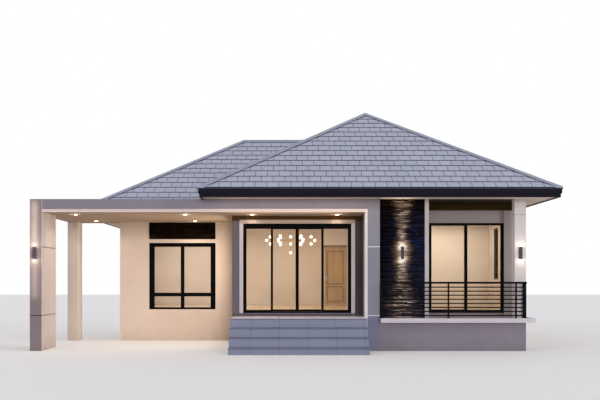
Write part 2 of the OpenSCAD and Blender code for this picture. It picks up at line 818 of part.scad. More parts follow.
module right_leaf() color([0.05, 0.05, 0.05])
    sliding_leaf(entry_mid + leaf_gap / 2, right_lap_x, door_head, stile - leaf_gap / 2, lap);

module right_leaf_glass() color("lightcyan", 0.4)
    sliding_glass(entry_mid + leaf_gap / 2, right_lap_x, door_head, stile - leaf_gap / 2, lap);

// The balcony door's overlap sits in the middle of its frame
balcony_lap = 74;
balcony_lap_x0 = (balcony_x0 + balcony_x1 - balcony_lap) / 2;
balcony_lap_x1 = balcony_lap_x0 + balcony_lap;
balcony_leaf_x = balcony_x0 + jamb + leaf_gap;

module balcony_door_frame() color([0.05, 0.05, 0.05]) {
    door_frame(balcony_x0, balcony_x1, balcony_head, slim_head);
    sash(balcony_lap_x0, balcony_x1 - jamb + sash_in, floor_z + track, balcony_head - slim_head,
        outer_sash_y, balcony_lap, stile, slim_rail);
}

module balcony_leaf() color([0.05, 0.05, 0.05])
    sliding_leaf(balcony_leaf_x, balcony_lap_x1, balcony_head, stile, balcony_lap, slim_head, slim_rail);

module balcony_leaf_glass() color("lightcyan", 0.4)
    sliding_glass(balcony_leaf_x, balcony_lap_x1, balcony_head, stile, balcony_lap, slim_head, slim_rail);

// The wing's front window: wide sides, a middle upright and a low transom
module dining_bars() {
    translate([(dining_w - dining_mid) / 2, dining_foot])
        square([dining_mid, dining_h - dining_foot - dining_top]);
    translate([dining_side, transom_z]) square([dining_w - 2 * dining_side, transom_h]);
}

module dining_shape() {
    ring(dining_w, dining_h, [dining_side, dining_side, dining_foot, dining_top]);
    dining_bars();
}

module dining_panes() difference() {
    translate([dining_side, dining_foot])
        square([dining_w - 2 * dining_side, dining_h - dining_foot - dining_top]);
    dining_bars();
}

pane_inset = (frame_d - glass_t) / 2;
window_in = wall_t - frame_d;

module window_frames() color([0.05, 0.05, 0.05]) {
    upright(dining_x0, wing_y + window_in, floor_z, frame_d) dining_shape();
    for (w = right_windows) sideways(main_x1 - wall_t, w[0], sill_z, frame_d)
        frame_shape(w[1], window_h, window_bar, w[2]);
    sideways(wing_x + window_in, wing_side_window[0], sill_z, frame_d)
        frame_shape(wing_side_window[1], window_h, window_bar, wing_side_window[2]);
    upright(back_wing_window[0], back_inner, sill_z, frame_d)
        frame_shape(back_wing_window[1], window_h, window_bar, back_wing_window[2]);
    upright(back_room_window[0], back_inner, sill_z, frame_d)
        frame_shape(back_room_window[1], window_h, window_bar, back_room_window[2]);
}

module window_glass() color("lightcyan", 0.4) {
    upright(dining_x0, wing_y + window_in + pane_inset, floor_z, glass_t) dining_panes();
    for (w = right_windows) sideways(main_x1 - wall_t + pane_inset, w[0], sill_z, glass_t)
        pane_shape(w[1], window_h, window_bar, w[2]);
    sideways(wing_x + window_in + pane_inset, wing_side_window[0], sill_z, glass_t)
        pane_shape(wing_side_window[1], window_h, window_bar, wing_side_window[2]);
    upright(back_wing_window[0], back_inner + pane_inset, sill_z, glass_t)
        pane_shape(back_wing_window[1], window_h, window_bar, back_wing_window[2]);
    upright(back_room_window[0], back_inner + pane_inset, sill_z, glass_t)
        pane_shape(back_room_window[1], window_h, window_bar, back_room_window[2]);
    sash_glass(fixed_x0, left_lap_x + lap, floor_z + track, door_head - head, outer_sash_y, stile, lap);
    sash_glass(right_lap_x - lap, fixed_x1, floor_z + track, door_head - head, outer_sash_y, lap, stile);
    sash_glass(balcony_lap_x0, balcony_x1 - jamb + sash_in, floor_z + track, balcony_head - slim_head,
        outer_sash_y, balcony_lap, stile, slim_rail);
}

module back_door_frame() color("peru") {
    upright(back_open_x0, back_inner, floor_z, wall_t) difference() {
        square([back_open_w, back_open_h]);
        translate([back_jamb, -cut]) square([back_open_w - 2 * back_jamb, back_open_h - back_jamb + cut]);
    }
    for (z = hinge_heights) {
        translate([hinge_x, hinge_y, floor_z + z]) cylinder(r = knuckle_r, h = knuckle_h);
        span([hinge_x + hinge_side, hinge_y, floor_z + z],
            [hinge_x + hinge_plate, back_inner + hinge_sink, floor_z + z + knuckle_h]);
    }
}

// The back door leaf's left and right edges
back_leaf_x0 = back_open_x0 + back_jamb + back_gap;
back_leaf_x1 = back_leaf_x0 + back_leaf_w;

module back_door() color("peru") {
    difference() {
        upright(back_leaf_x0, back_inner, floor_z + back_gap, back_leaf_t) square([back_leaf_w, back_leaf_h]);
        for (y = [back_inner - cut, back_inner + back_leaf_t - panel_sink],
            panel = [[low_panel_z, low_panel_h], [high_panel_z, high_panel_h]])
            upright(back_leaf_x0 + door_stile, y, floor_z + back_gap + panel[0], panel_sink + cut)
                square([back_leaf_w - 2 * door_stile, panel[1]]);
    }
    for (z = hinge_heights) {
        translate([hinge_x, hinge_y, floor_z + z + knuckle_h + knuckle_gap])
            cylinder(r = knuckle_r, h = knuckle_h);
        span([hinge_x - hinge_plate, hinge_y, floor_z + z + knuckle_h + knuckle_gap],
            [hinge_x - hinge_side, back_inner + hinge_sink, floor_z + z + 2 * knuckle_h + knuckle_gap]);
    }
}

module back_door_handle() color("silver") {
    for (side = [0, 1])
        translate([back_leaf_x0 + handle_in, back_inner + side * back_leaf_t, floor_z + back_gap + handle_z])
            mirror([0, side, 0]) {
                translate([-plate_w / 2, -plate_t, -plate_h / 2]) cube([plate_w, plate_t, plate_h]);
                rotate([90, 0, 0]) cylinder(r = spindle_r, h = lever_out + lever_r / 2);
                translate([0, -lever_out, 0]) rotate([0, 90, 0]) cylinder(r = lever_r, h = lever_len);
            }
}

// A light box that shines up and down, with a round recess at each end
module wall_light(x, y) difference() {
    translate([x - light_w / 2, y - light_d, light_z - light_h / 2]) cube([light_w, light_d, light_h]);
    for (z = [light_z - light_h / 2 - cut, light_z + light_h / 2 - lens_d])
        translate([x, y - light_d / 2, z]) cylinder(r = lens_r, h = lens_d + cut);
}

module wall_lights() color([0.1, 0.1, 0.1]) {
    wall_light(column_light_x, 0);
    wall_light(portal_w + (pier_w - pier_edge_w) / 2, stone_inset);
    wall_light(column_x + balcony_column_w / 2, 0);
}

module downlights() color("white") for (p = spots)
    translate([p[0], p[1], soffit_line - spot_h]) cylinder(r = spot_r, h = spot_h);

// Directions of the lamp's arms and the three globes at the end of each
lamp_arms = [0, 60, 120, 180, 240, 300];

module lamp_end(a) rotate([0, 0, a]) translate([lamp_arm, 0, 0]) children();

module chandelier() color("goldenrod") translate([lamp_x, lamp_y, lamp_z]) {
    translate([0, 0, ceiling_z - lamp_z - canopy_h]) cylinder(r = canopy_r, h = canopy_h);
    translate([0, 0, -lamp_drop + globe_r])
        cylinder(r = lamp_rod_r, h = ceiling_z - lamp_z + lamp_drop - globe_r);
    sphere(r = hub_r);
    for (a = lamp_arms) {
        rotate([0, 0, a]) rotate([0, 90, 0]) cylinder(r = lamp_rod_r, h = lamp_arm + lamp_ring - globe_r);
        lamp_end(a) translate([0, 0, -lamp_ring + globe_r])
            cylinder(r = lamp_rod_r, h = 2 * (lamp_ring - globe_r));
    }
}

module chandelier_globes() color("ivory") translate([lamp_x, lamp_y, lamp_z]) difference() {
    union() {
        for (a = lamp_arms) lamp_end(a) {
            translate([lamp_ring, 0, 0]) sphere(r = globe_r);
            for (z = [-lamp_ring, lamp_ring]) translate([0, 0, z]) sphere(r = globe_r);
        }
        translate([0, 0, -lamp_drop]) sphere(r = globe_r);
    }
    for (a = lamp_arms) lamp_end(a) {
        rotate([0, 90, 0]) translate([0, 0, -globe_r]) cylinder(r = lamp_rod_r, h = lamp_ring);
        translate([0, 0, -lamp_ring + globe_r / 2]) cylinder(r = lamp_rod_r, h = 2 * lamp_ring - globe_r);
    }
}

translate([-origin_x, -origin_y, 0]) {
    floor();
    entry_landing();
    lower_step();
    middle_step();
    upper_step();
    back_steps();
    front_wall_left();
    front_wall_middle();
    front_wall_right();
    door_lintels();
    door_sill_walls();
    right_wall();
    back_wall_left();
    back_wall_right();
    wing_side_wall();
    wing_front_wall();
    carport_wall();
    room_partition();
    bedroom_partition();
    ceiling();
    main_roof();
    wing_roof();
    roof_caps();
    fascias();
    soffits();
    portal_beam();
    left_column();
    right_leg();
    carport_slab();
    rear_column();
    pier();
    stone_cladding();
    balcony_slab();
    balcony_plinth();
    balcony_column();
    front_railing();
    side_railing();
    entry_trim();
    entry_door_frame();
    left_leaf();
    left_leaf_glass();
    right_leaf();
    right_leaf_glass();
    balcony_door_frame();
    balcony_leaf();
    balcony_leaf_glass();
    window_frames();
    window_glass();
    back_door_frame();
    back_door();
    back_door_handle();
    wall_lights();
    downlights();
    chandelier();
    chandelier_globes();
}
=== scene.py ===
import math
import random

import bmesh
import bpy
from mathutils import Matrix, Vector


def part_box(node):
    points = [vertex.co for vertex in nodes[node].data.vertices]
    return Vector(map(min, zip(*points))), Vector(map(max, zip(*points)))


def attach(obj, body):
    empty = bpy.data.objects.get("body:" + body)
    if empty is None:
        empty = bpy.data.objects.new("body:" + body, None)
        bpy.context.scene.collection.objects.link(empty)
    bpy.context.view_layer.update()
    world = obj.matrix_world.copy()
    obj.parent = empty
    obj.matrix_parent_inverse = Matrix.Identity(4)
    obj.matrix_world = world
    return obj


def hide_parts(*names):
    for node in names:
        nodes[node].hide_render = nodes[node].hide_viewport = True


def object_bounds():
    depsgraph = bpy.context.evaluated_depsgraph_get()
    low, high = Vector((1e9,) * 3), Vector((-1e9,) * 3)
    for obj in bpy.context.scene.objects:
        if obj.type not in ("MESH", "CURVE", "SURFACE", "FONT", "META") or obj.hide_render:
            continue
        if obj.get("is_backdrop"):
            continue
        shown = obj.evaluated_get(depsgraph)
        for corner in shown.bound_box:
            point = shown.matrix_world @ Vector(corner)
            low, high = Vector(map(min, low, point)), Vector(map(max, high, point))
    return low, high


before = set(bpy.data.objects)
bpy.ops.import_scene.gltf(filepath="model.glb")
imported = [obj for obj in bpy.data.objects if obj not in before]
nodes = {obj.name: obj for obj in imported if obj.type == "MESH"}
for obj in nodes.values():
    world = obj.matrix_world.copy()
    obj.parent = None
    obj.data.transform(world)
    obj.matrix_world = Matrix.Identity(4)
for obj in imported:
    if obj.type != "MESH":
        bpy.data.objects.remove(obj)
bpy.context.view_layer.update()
print("frame loaded:", len(nodes), "nodes")


# helpers for meshes

def newMesh(*layers):
    bm = bmesh.new()
    for layer in layers:
        bm.faces.layers.float.new(layer)
    return bm


def meshFrom(bm, name):
    mesh = bpy.data.meshes.new(name)
    bm.to_mesh(mesh)
    bm.free()
    return mesh


def addObject(name, data):
    item = bpy.data.objects.new(name, data)
    bpy.context.scene.collection.objects.link(item)
    return item


def finishPiece(bm, name, material, body="house", smooth=False):
    mesh = meshFrom(bm, name)
    mesh.materials.append(material)
    piece = addObject(name, mesh)
    for face in mesh.polygons:
        face.use_smooth = smooth
    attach(piece, body)
    return piece


def addBox(bm, low, high):
    size = Vector(high) - Vector(low)
    place = Matrix.Translation((Vector(low) + Vector(high)) / 2) @ Matrix.Diagonal((*size, 1))
    bmesh.ops.create_cube(bm, size=1.0, matrix=place)


def addTurnedBox(bm, middle, axes, sizes):
    place = Matrix.Identity(4)
    for column, (axis, size) in enumerate(zip(axes, sizes)):
        place.col[column][0:3] = axis * size
    place.translation = middle
    return bmesh.ops.create_cube(bm, size=1.0, matrix=place)["verts"]


def facesSince(bm, before):
    bm.faces.ensure_lookup_table()
    return bm.faces[before:]


def bevelAll(bm, width, edges=None, segments=1):
    bmesh.ops.bevel(bm, geom=edges or bm.edges[:], offset=width, offset_type="OFFSET", affect="EDGES",
                    segments=segments, profile=0.5, material=-1)


# middle, low corner and high corner of each lamp in a node that holds several
def lampBoxes(name, apart=0.3):
    lamps = []
    for vertex in nodes[name].data.vertices:
        for points in lamps:
            if (vertex.co.xy - points[0].xy).length < apart:
                points.append(vertex.co.copy())
                break
        else:
            lamps.append([vertex.co.copy()])
    boxes = []
    for points in lamps:
        low, high = (Vector(map(end, zip(*points))) for end in (min, max))
        boxes.append(((low + high) / 2, low, high))
    return boxes


# helpers for materials

def tint(code):
    parts = [int(code[k:k + 2], 16) / 255 for k in (1, 3, 5)]
    return tuple(c / 12.92 if c <= 0.04045 else ((c + 0.055) / 1.055) ** 2.4 for c in parts) + (1.0,)


tree = None                                     # the node tree that is being built


def link(output, target):
    tree.links.new(output, target)


def addNode(kind, inputs=None, **settings):
    node = tree.nodes.new("ShaderNode" + kind)
    for key, value in settings.items():
        setattr(node, key, value)
    for key, value in (inputs or {}).items():
        if isinstance(value, bpy.types.NodeSocket):
            link(value, node.inputs[key])
        else:
            node.inputs[key].default_value = value
    return node


def maths(operation, a, b=0.0, clamp=False):
    return addNode("Math", {0: a, 1: b}, operation=operation, use_clamp=clamp).outputs[0]


def times(a, b):
    return maths("MULTIPLY", a, b)


# a and b are sockets or colour codes
def blend(factor, a, b, mode="MIX"):
    a, b = (tint(value) if isinstance(value, str) else value for value in (a, b))
    return addNode("Mix", {0: factor, 6: a, 7: b}, data_type="RGBA", blend_type=mode).outputs[2]


def twoTone(factor, look):
    return blend(factor, *look["tones"])


def spread(value, low, high, newLow=0.0, newHigh=1.0):
    return addNode("MapRange", {0: value, 1: low, 2: high, 3: newLow, 4: newHigh}).outputs[0]


def noise(vector, scale, detail=2.0, roughness=0.5, distortion=0.0):
    return addNode("TexNoise", {"Vector": vector, "Scale": scale, "Detail": detail, "Roughness": roughness,
                                "Distortion": distortion}).outputs[0]


def stretch(vector, scale):
    return addNode("Mapping", {"Vector": vector, "Scale": scale}).outputs[0]


def axesOf(vector):
    return addNode("SeparateXYZ", {0: vector}).outputs


def faceValue(name):
    return addNode("Attribute", attribute_name=name).outputs["Fac"]


def startGroup(name, numbers, outputs):
    global tree
    tree = bpy.data.node_groups.new(name, "ShaderNodeTree")
    newSocket = tree.interface.new_socket
    newSocket(name="Vector", in_out="INPUT", socket_type="NodeSocketVector")
    for label, value in numbers.items():
        newSocket(name=label, in_out="INPUT", socket_type="NodeSocketFloat").default_value = value
    for label in outputs:
        newSocket(name=label, in_out="OUTPUT", socket_type="NodeSocketFloat")
    return tree, tree.nodes.new("NodeGroupInput").outputs, tree.nodes.new("NodeGroupOutput").inputs


def useGroup(group, *inputs):
    return addNode("Group", dict(enumerate(inputs)), node_tree=group).outputs


def startMaterial(name, roughness=0.7, metallic=0.0, specular=0.5):
    global tree
    material = bpy.data.materials.new(name)
    material.use_nodes = True
    tree = material.node_tree
    shader = tree.nodes["Principled BSDF"]
    for key, value in (("Roughness", roughness), ("Metallic", metallic), ("Specular IOR Level", specular)):
        shader.inputs[key].default_value = value
    place = tree.nodes.new("ShaderNodeTexCoord").outputs["Object"]
    return material, shader, place


def colourFrom(shader, colour, rough=None):
    link(colour, shader.inputs["Base Color"])
    if rough is not None:
        link(rough, shader.inputs["Roughness"])


def bumpFrom(shader, height, distance, strength=0.5):
    bump = addNode("Bump", {"Height": height, "Distance": distance, "Strength": strength})
    link(bump.outputs[0], shader.inputs["Normal"])


def dress(material, *names):
    for name in names:
        mesh = nodes[name].data
        mesh.materials.clear()
        mesh.materials.append(material)


# share of 1 inside a box given by its limits on some axes, None for an open side
def inZone(place, zone):
    axes = axesOf(place)
    share = 1.0
    for axis, limits in zone.items():
        for limit, test in zip(limits, ("GREATER_THAN", "LESS_THAN")):
            if limit is not None:
                share = times(share, maths(test, axes["XYZ".index(axis)], limit))
    return share


# shared effects: fine render texture with a grain height and a broad cloudy tone
plasterCoat, get, put = startGroup("plasterCoat", {"Grain": 90.0, "Cloud": 0.7}, ["Tone", "Height"])
fine = noise(get[0], get[1], 5.0, 0.6)
broad = noise(get[0], get[2], 4.0, 0.55)
trowel = noise(get[0], 9.0, 2.0)
link(spread(broad, 0.32, 0.68), put[0])
link(maths("ADD", fine, times(trowel, 0.8)), put[1])

# rain splash near the ground and thin streaks that run down a wall
wallWeather, get, put = startGroup("wallWeather", {"Reach": 0.45}, ["Splash", "Streak"])
lowPart = maths("DIVIDE", axesOf(get[0])[2], get[1])
lowPart = maths("POWER", maths("SUBTRACT", 1.0, lowPart, clamp=True), 1.6)
blotch = noise(get[0], 5.0, 4.0)
link(maths("MULTIPLY", lowPart, blotch, clamp=True), put[0])
runs = noise(stretch(get[0], (7.0, 7.0, 0.22)), 1.6, 4.0)
link(spread(runs, 0.52, 0.78), put[1])

# a grid of joints with a tone for each cell
tileGrid, get, put = startGroup("tileGrid", {"Width": 0.6, "Depth": 0.6, "Gap": 0.004}, ["Joint", "Tone"])
axes = axesOf(get[0])
edges, cells = [], []
for axis, size in ((0, get[1]), (1, get[2])):
    steps = maths("DIVIDE", axes[axis], size)
    cells.append(maths("FLOOR", steps))
    share = maths("FRACT", steps)
    near = maths("MINIMUM", share, maths("SUBTRACT", 1.0, share))
    near = times(near, size)
    edges.append(maths("LESS_THAN", near, times(get[3], 0.5)))
link(maths("MAXIMUM", edges[0], edges[1]), put[0])
cell = addNode("CombineXYZ", {0: cells[0], 1: cells[1]}).outputs[0]
link(addNode("TexWhiteNoise", {"Vector": cell}).outputs[0], put[1])

# wood grain that runs up the board
woodGrain, get, put = startGroup("woodGrain", {"Scale": 14.0}, ["Tone", "Height"])
along = stretch(get[0], (1.0, 1.0, 0.07))
rings = noise(along, get[1], 6.0, distortion=0.8)
pores = noise(along, times(get[1], 9.0), 2.0)
link(spread(rings, 0.3, 0.7), put[0])
link(maths("ADD", rings, times(pores, 0.5)), put[1])

# slightly uneven sheen for metal and painted boards
sheenVary, get, put = startGroup("sheenVary", {"Scale": 6.0, "Low": 0.3, "High": 0.5}, ["Rough", "Tone"])
smudge = noise(get[0], get[1], 5.0, 0.65)
link(spread(smudge, 0.3, 0.7, get[2], get[3]), put[0])
link(smudge, put[1])


# wall paints: a plaster coat in two close tones, with other tones in some zones, some of them painted shade and
# painted light, and a little dirt

def wallPaint(name, look, zones):
    material, shader, place = startMaterial(name, specular=0.2)
    coat = useGroup(plasterCoat, place, look["grain"], look["cloud"])
    weather = useGroup(wallWeather, place, look["reach"])
    colour = twoTone(coat["Tone"], look)
    for zone, dark, light in zones:
        colour = blend(inZone(place, zone), colour, blend(coat["Tone"], dark, light))
    for mask, share in (("Streak", look["streak"]), ("Splash", look["splash"])):
        colour = blend(times(weather[mask], share), colour, look["dirt"])
    colourFrom(shader, colour, spread(coat["Tone"], 0.0, 1.0, 0.8, 0.92))
    bumpFrom(shader, coat["Height"], 0.0016, 0.6)
    return material


greyLook = {"tones": ("#7d7780", "#888189"), "dirt": "#5e5853", "grain": 110.0, "cloud": 0.6, "reach": 0.5,
            "streak": 0.10, "splash": 0.5}
legLook = dict(greyLook, tones=("#807f89", "#8b8a94"), streak=0.06)
columnLook = dict(greyLook, tones=("#7c706f", "#877b79"))
frontLook = dict(greyLook, tones=("#8e8481", "#9b908c"), dirt="#6e6259", reach=0.3, streak=0.06, splash=0.2)
creamLook = dict(greyLook, tones=("#cbb8a5", "#d6c4b2"), dirt="#9c8570", streak=0.06, splash=0.4)
postLook = dict(greyLook, tones=("#c6bebb", "#d1c9c5"), dirt="#988d84", streak=0.06, splash=0.3)
roomLook = dict(greyLook, tones=("#dccdbb", "#e6d9c9"), dirt="#b9a893", grain=160.0, cloud=0.9, reach=0.1,
                streak=0.02, splash=0.1)
lipLook = dict(greyLook, tones=("#cfbdb4", "#dccbc1"), dirt="#a8968a", grain=140.0, cloud=0.5, reach=0.1,
               streak=0.05, splash=0.1)
slabLook = dict(greyLook, tones=("#bcb5b8", "#c9c2c5"), dirt="#948b86", grain=120.0, cloud=1.2, reach=0.2,
                streak=0.08, splash=0.3)
pierLook = dict(greyLook, tones=("#b5adac", "#c2bab8"), dirt="#8d827a", grain=120.0, cloud=1.0, reach=0.3,
                streak=0.08, splash=0.2)

wallLow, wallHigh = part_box("front_wall_left")
pierLow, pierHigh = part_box("pier")
legLow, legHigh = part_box("right_leg")
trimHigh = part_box("entry_trim")[1]
columnLow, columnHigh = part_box("left_column")
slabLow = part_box("carport_slab")[0]
postLow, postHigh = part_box("balcony_column")
rearLow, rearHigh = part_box("rear_column")
insideWall = (wallLow.y + wallHigh.y) / 2
legLining = legLow.x + 0.0545
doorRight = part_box("balcony_door_frame")[1].x

# heights where a wall changes tone, and the depth of a zone that holds one face only
levels = {"base": 0.905, "foot": 0.915, "trimFoot": 0.938, "legJoint": 2.68, "trimHead": 3.342,
          "porchShadowEdge": 3.41, "postJoint": (3.505, 3.514), "porchStrip": 3.546, "balconyShadowEdge": 3.689,
          "baseJoint": (0.90, 0.925)}
skin = 0.002
porch = (None, pierLow.x)
frontZones = [
    ({"X": porch}, "#605a60", "#6c656b"),
    # painted shadow: the wall from the entry trim to the pier, darker as in the leg's shadow
    ({"X": (trimHigh.x - 0.02, pierLow.x)}, "#484346", "#524c50"),
    # painted shadow: a dark brown band at the top of the porch wall, under the portal's lip, with a beige strip
    # above it
    ({"X": porch, "Z": (levels["porchShadowEdge"], None)}, "#463115", "#51391c"),
    ({"X": porch, "Z": (levels["porchStrip"], None)}, "#a58c74", "#b09780"),
    ({"X": porch, "Z": (None, levels["foot"])}, "#504b52", "#5b555c"),
    # painted shadow: a dark brown band at the top of the balcony wall, under the eave
    ({"X": (pierLow.x, None), "Z": (levels["balconyShadowEdge"], None)}, "#342407", "#402e0d"),
    # painted light: the wall right of the balcony door, lighter where the balcony column would shade it
    ({"X": (doorRight, None), "Z": (None, levels["balconyShadowEdge"])}, "#b6aaa5", "#c3b7b2"),
    ({"Y": (insideWall, None)}, *roomLook["tones"])]
rearZones = [
    # painted shade and painted light: the front darker and the side facing the house much lighter than the
    # cream paint
    ({"Y": (None, rearLow.y + skin)}, "#beafa0", "#cabbac"),
    ({"X": (rearHigh.x - skin, None)}, "#fff2e0", "#fffaee")]
columnZones = [
    ({"Z": (None, levels["base"])}, "#7b6e6f", "#867879"),
    ({"Y": (columnLow.y + 0.003, columnLow.y + 0.012), "Z": levels["baseJoint"]}, "#3b3435", "#443d3e"),
    # painted light: the inner side, facing the house, much lighter than the front
    ({"X": (columnHigh.x - 0.006, None)}, "#e0d3ca", "#eaded6")]
trimZones = [
    # painted shade: the trim's head darker beige, in the shade under the portal
    ({"Z": (levels["trimHead"], None)}, "#a18e7d", "#ad9a89"),
    ({"Z": (None, levels["trimFoot"])}, "#605a60", "#6c656b")]
# painted shade: the slab's underside darker and yellower than its lip, with the warm cast of the spots
lipZones = [({"Y": (slabLow.y + skin, None)}, "#aa927b", "#b69e87")]
postZones = [
    # painted light: the left side lighter, as if lit like the front
    ({"X": (None, postLow.x + skin)}, "#f2e9e4", "#f8f0eb"),
    ({"Z": levels["postJoint"]}, "#6e6662", "#78706c")]
legZones = [
    ({"Z": (levels["legJoint"], None)}, "#7f7e87", "#8a8992"),
    ({"Z": (None, levels["base"])}, "#74768a", "#7e8094"),
    # the lining is the leg's own cream paint; its inner faces are painted lighter than its front face, as
    # painted light
    ({"X": (None, legLining)}, "#dcd5d1", "#e5dfdb"),
    ({"X": (None, legLining), "Y": (None, legLow.y + skin)}, "#c4bdba", "#cdc6c3"),
    # painted shade: the leg's inner side, deep in the porch, dark like the wall beside it
    ({"X": (None, legLow.x + skin), "Y": (legLow.y + 0.54, None)}, "#4a4548", "#544e51")]

wallPaints = (
    ("greyPaint", greyLook, [], ("portal_beam", "balcony_plinth")),
    ("frontPaint", frontLook, frontZones,
     ("front_wall_left", "front_wall_middle", "front_wall_right", "door_lintels", "door_sill_walls")),
    ("rearPaint", creamLook, rearZones, ("rear_column",)),
    ("creamPaint", creamLook, [],
     ("carport_wall", "wing_front_wall", "wing_side_wall", "back_wall_left", "back_wall_right", "right_wall")),
    ("columnPaint", columnLook, columnZones, ("left_column",)),
    ("pierPaint", pierLook, [], ("pier",)),
    ("postPaint", postLook, postZones, ("balcony_column",)),
    ("trimPaint", pierLook, trimZones, ("entry_trim",)),
    ("roomPaint", roomLook, [], ("room_partition", "bedroom_partition", "ceiling")),
    ("lipPaint", lipLook, lipZones, ("carport_slab",)),
    ("slabPaint", slabLook, [], ("balcony_slab", "back_steps")),
    ("legPaint", legLook, legZones, ("right_leg",)))
for name, look, zones, painted in wallPaints:
    dress(wallPaint(name, look, zones), *painted)
print("walls painted:", len(wallPaints), "paints")


# boards, metal, glass, wood and floor on the CAD nodes

boardLook = {"soffit": "#ead9c8", "cloud": "#cfbba6", "joint": "#a8937e", "dark": "#33271b", "eave": "#a99b8e",
             "panel": 1.2, "gap": 0.005}
material, shader, place = startMaterial("soffitBoards", specular=0.3)
grid = useGroup(tileGrid, place, boardLook["panel"], boardLook["panel"] * 2, boardLook["gap"])
coat = useGroup(plasterCoat, place, 160.0, 0.8)
colour = blend(times(coat["Tone"], 0.25), boardLook["soffit"], boardLook["cloud"])
# painted shade: the soffit over the balcony in the dark tone, like the band on the wall below
shadeOverBalcony = {"X": (pierHigh.x - 0.10, postHigh.x), "Y": (postLow.y + 0.03, None)}
overPortal = {"X": (None, legHigh.x), "Y": (None, legLow.y + 0.02)}
for zone, shade in ((shadeOverBalcony, "dark"), (overPortal, "eave")):
    colour = blend(inZone(place, zone), colour, boardLook[shade])
colourFrom(shader, blend(grid["Joint"], colour, boardLook["joint"]))
sunk = times(grid["Joint"], 3.0)
bumpFrom(shader, maths("SUBTRACT", coat["Height"], sunk), 0.001)
dress(material, "soffits")


def sheenMaterial(name, look, metallic=0.0):
    material, shader, place = startMaterial(name, metallic=metallic, specular=look.get("gloss", 0.5))
    vary = useGroup(sheenVary, place, look["scale"], *look["rough"])
    colourFrom(shader, twoTone(vary["Tone"], look), vary["Rough"])
    return material, shader, place


fasciaLook = {"tones": ("#100e17", "#181621"), "rough": (0.5, 0.65), "gloss": 0.12, "scale": 4.0}
material, shader, place = sheenMaterial("fasciaPaint", fasciaLook)
bumpFrom(shader, noise(stretch(place, (0.6, 0.6, 40.0)), 2.0, 4.0), 0.0012)
dress(material, "fascias")


def powderCoat(name, look):
    material, shader, place = sheenMaterial(name, look)
    bumpFrom(shader, noise(place, 900.0, 1.0), 0.0001, 0.4)
    return material


aluminiumLook = {"tones": ("#030303", "#080808"), "rough": (0.35, 0.5), "gloss": 0.06, "scale": 11.0}
railingLook = {"tones": ("#050509", "#0c0c13"), "rough": (0.35, 0.55), "gloss": 0.08, "scale": 11.0}
lampLook = {"tones": ("#39343a", "#484248"), "rough": (0.4, 0.6), "gloss": 0.2, "scale": 11.0}
blackAluminium = powderCoat("blackAluminium", aluminiumLook)
dress(blackAluminium, "entry_door_frame", "left_leaf", "right_leaf", "balcony_door_frame", "balcony_leaf",
      "window_frames")
dress(powderCoat("blackSteel", railingLook), "front_railing", "side_railing")
dress(powderCoat("lampBody", lampLook), "wall_lights")

brushedLook = {"tones": ("#b4b2ae", "#cfcdc8"), "rough": (0.24, 0.4), "scale": 60.0}
brassLook = {"tones": ("#b98f55", "#d8b27a"), "rough": (0.22, 0.38), "scale": 30.0}
dress(sheenMaterial("brushedSteel", brushedLook, metallic=1.0)[0], "back_door_handle")
dress(sheenMaterial("lampBrass", brassLook, metallic=1.0)[0], "chandelier")

glassLook = {"tones": ("#f3f6f5", "#fbfcfb"), "rough": 0.02, "ior": 1.45}
material, shader, place = startMaterial("clearGlass", roughness=glassLook["rough"])
shader.inputs["Transmission Weight"].default_value = 1.0
shader.inputs["IOR"].default_value = glassLook["ior"]
colourFrom(shader, twoTone(noise(place, 0.8), glassLook))
dress(material, "window_glass", "left_leaf_glass", "right_leaf_glass", "balcony_leaf_glass")


def woodMaterial(name, look, specular=0.5):
    material, shader, place = startMaterial(name, roughness=look["rough"], specular=specular)
    grain = useGroup(woodGrain, place, look["scale"])
    colourFrom(shader, twoTone(grain["Tone"], look))
    bumpFrom(shader, grain["Height"], 0.0008)
    return material, shader, grain


doorLook = {"tones": ("#a3792b", "#c0963f"), "rough": 0.5, "smooth": 0.38, "scale": 16.0}
mouldingLook = {"tones": ("#76521b", "#8c6425"), "rough": 0.5, "scale": 16.0}
material, shader, grain = woodMaterial("doorWood", doorLook)
gloss = spread(grain["Tone"], 0.0, 1.0, doorLook["rough"], doorLook["smooth"])
link(gloss, shader.inputs["Roughness"])
dress(material, "back_door", "back_door_frame")
mouldingWood = woodMaterial("mouldingWood", mouldingLook, specular=0.2)[0]


def glowing(name, colour, strength):
    material, shader, place = startMaterial(name, roughness=0.35)
    warm = blend(times(noise(place, 12.0), 0.3), colour, "#ffe7c4")
    colourFrom(shader, warm)
    link(warm, shader.inputs["Emission Color"])
    shader.inputs["Emission Strength"].default_value = strength
    return material


globeGlow = glowing("globeGlow", "#fff3df", 2.2)
lensGlow = glowing("lensGlow", "#fff1da", 14.0)
dress(globeGlow, "chandelier_globes")

floorLook = {"tones": ("#b39a80", "#c4ad94"), "pale": "#d2bfa8", "joint": "#8d7862", "size": 0.6, "gap": 0.003}
material, shader, place = startMaterial("floorTiles")
grid = useGroup(tileGrid, place, floorLook["size"], floorLook["size"], floorLook["gap"])
vein = noise(place, 3.0, 8.0, distortion=1.2)
colour = twoTone(vein, floorLook)
colour = blend(times(grid["Tone"], 0.2), colour, floorLook["pale"])
colourFrom(shader, blend(grid["Joint"], colour, floorLook["joint"]),
           spread(grid["Joint"], 0.0, 1.0, 0.22, 0.8))
bumpFrom(shader, maths("SUBTRACT", 1.0, grid["Joint"]), 0.001, 0.6)
dress(material, "floor")
print("boards, metal, glass and wood done")


# roof tiles, ridge caps and the felt under them

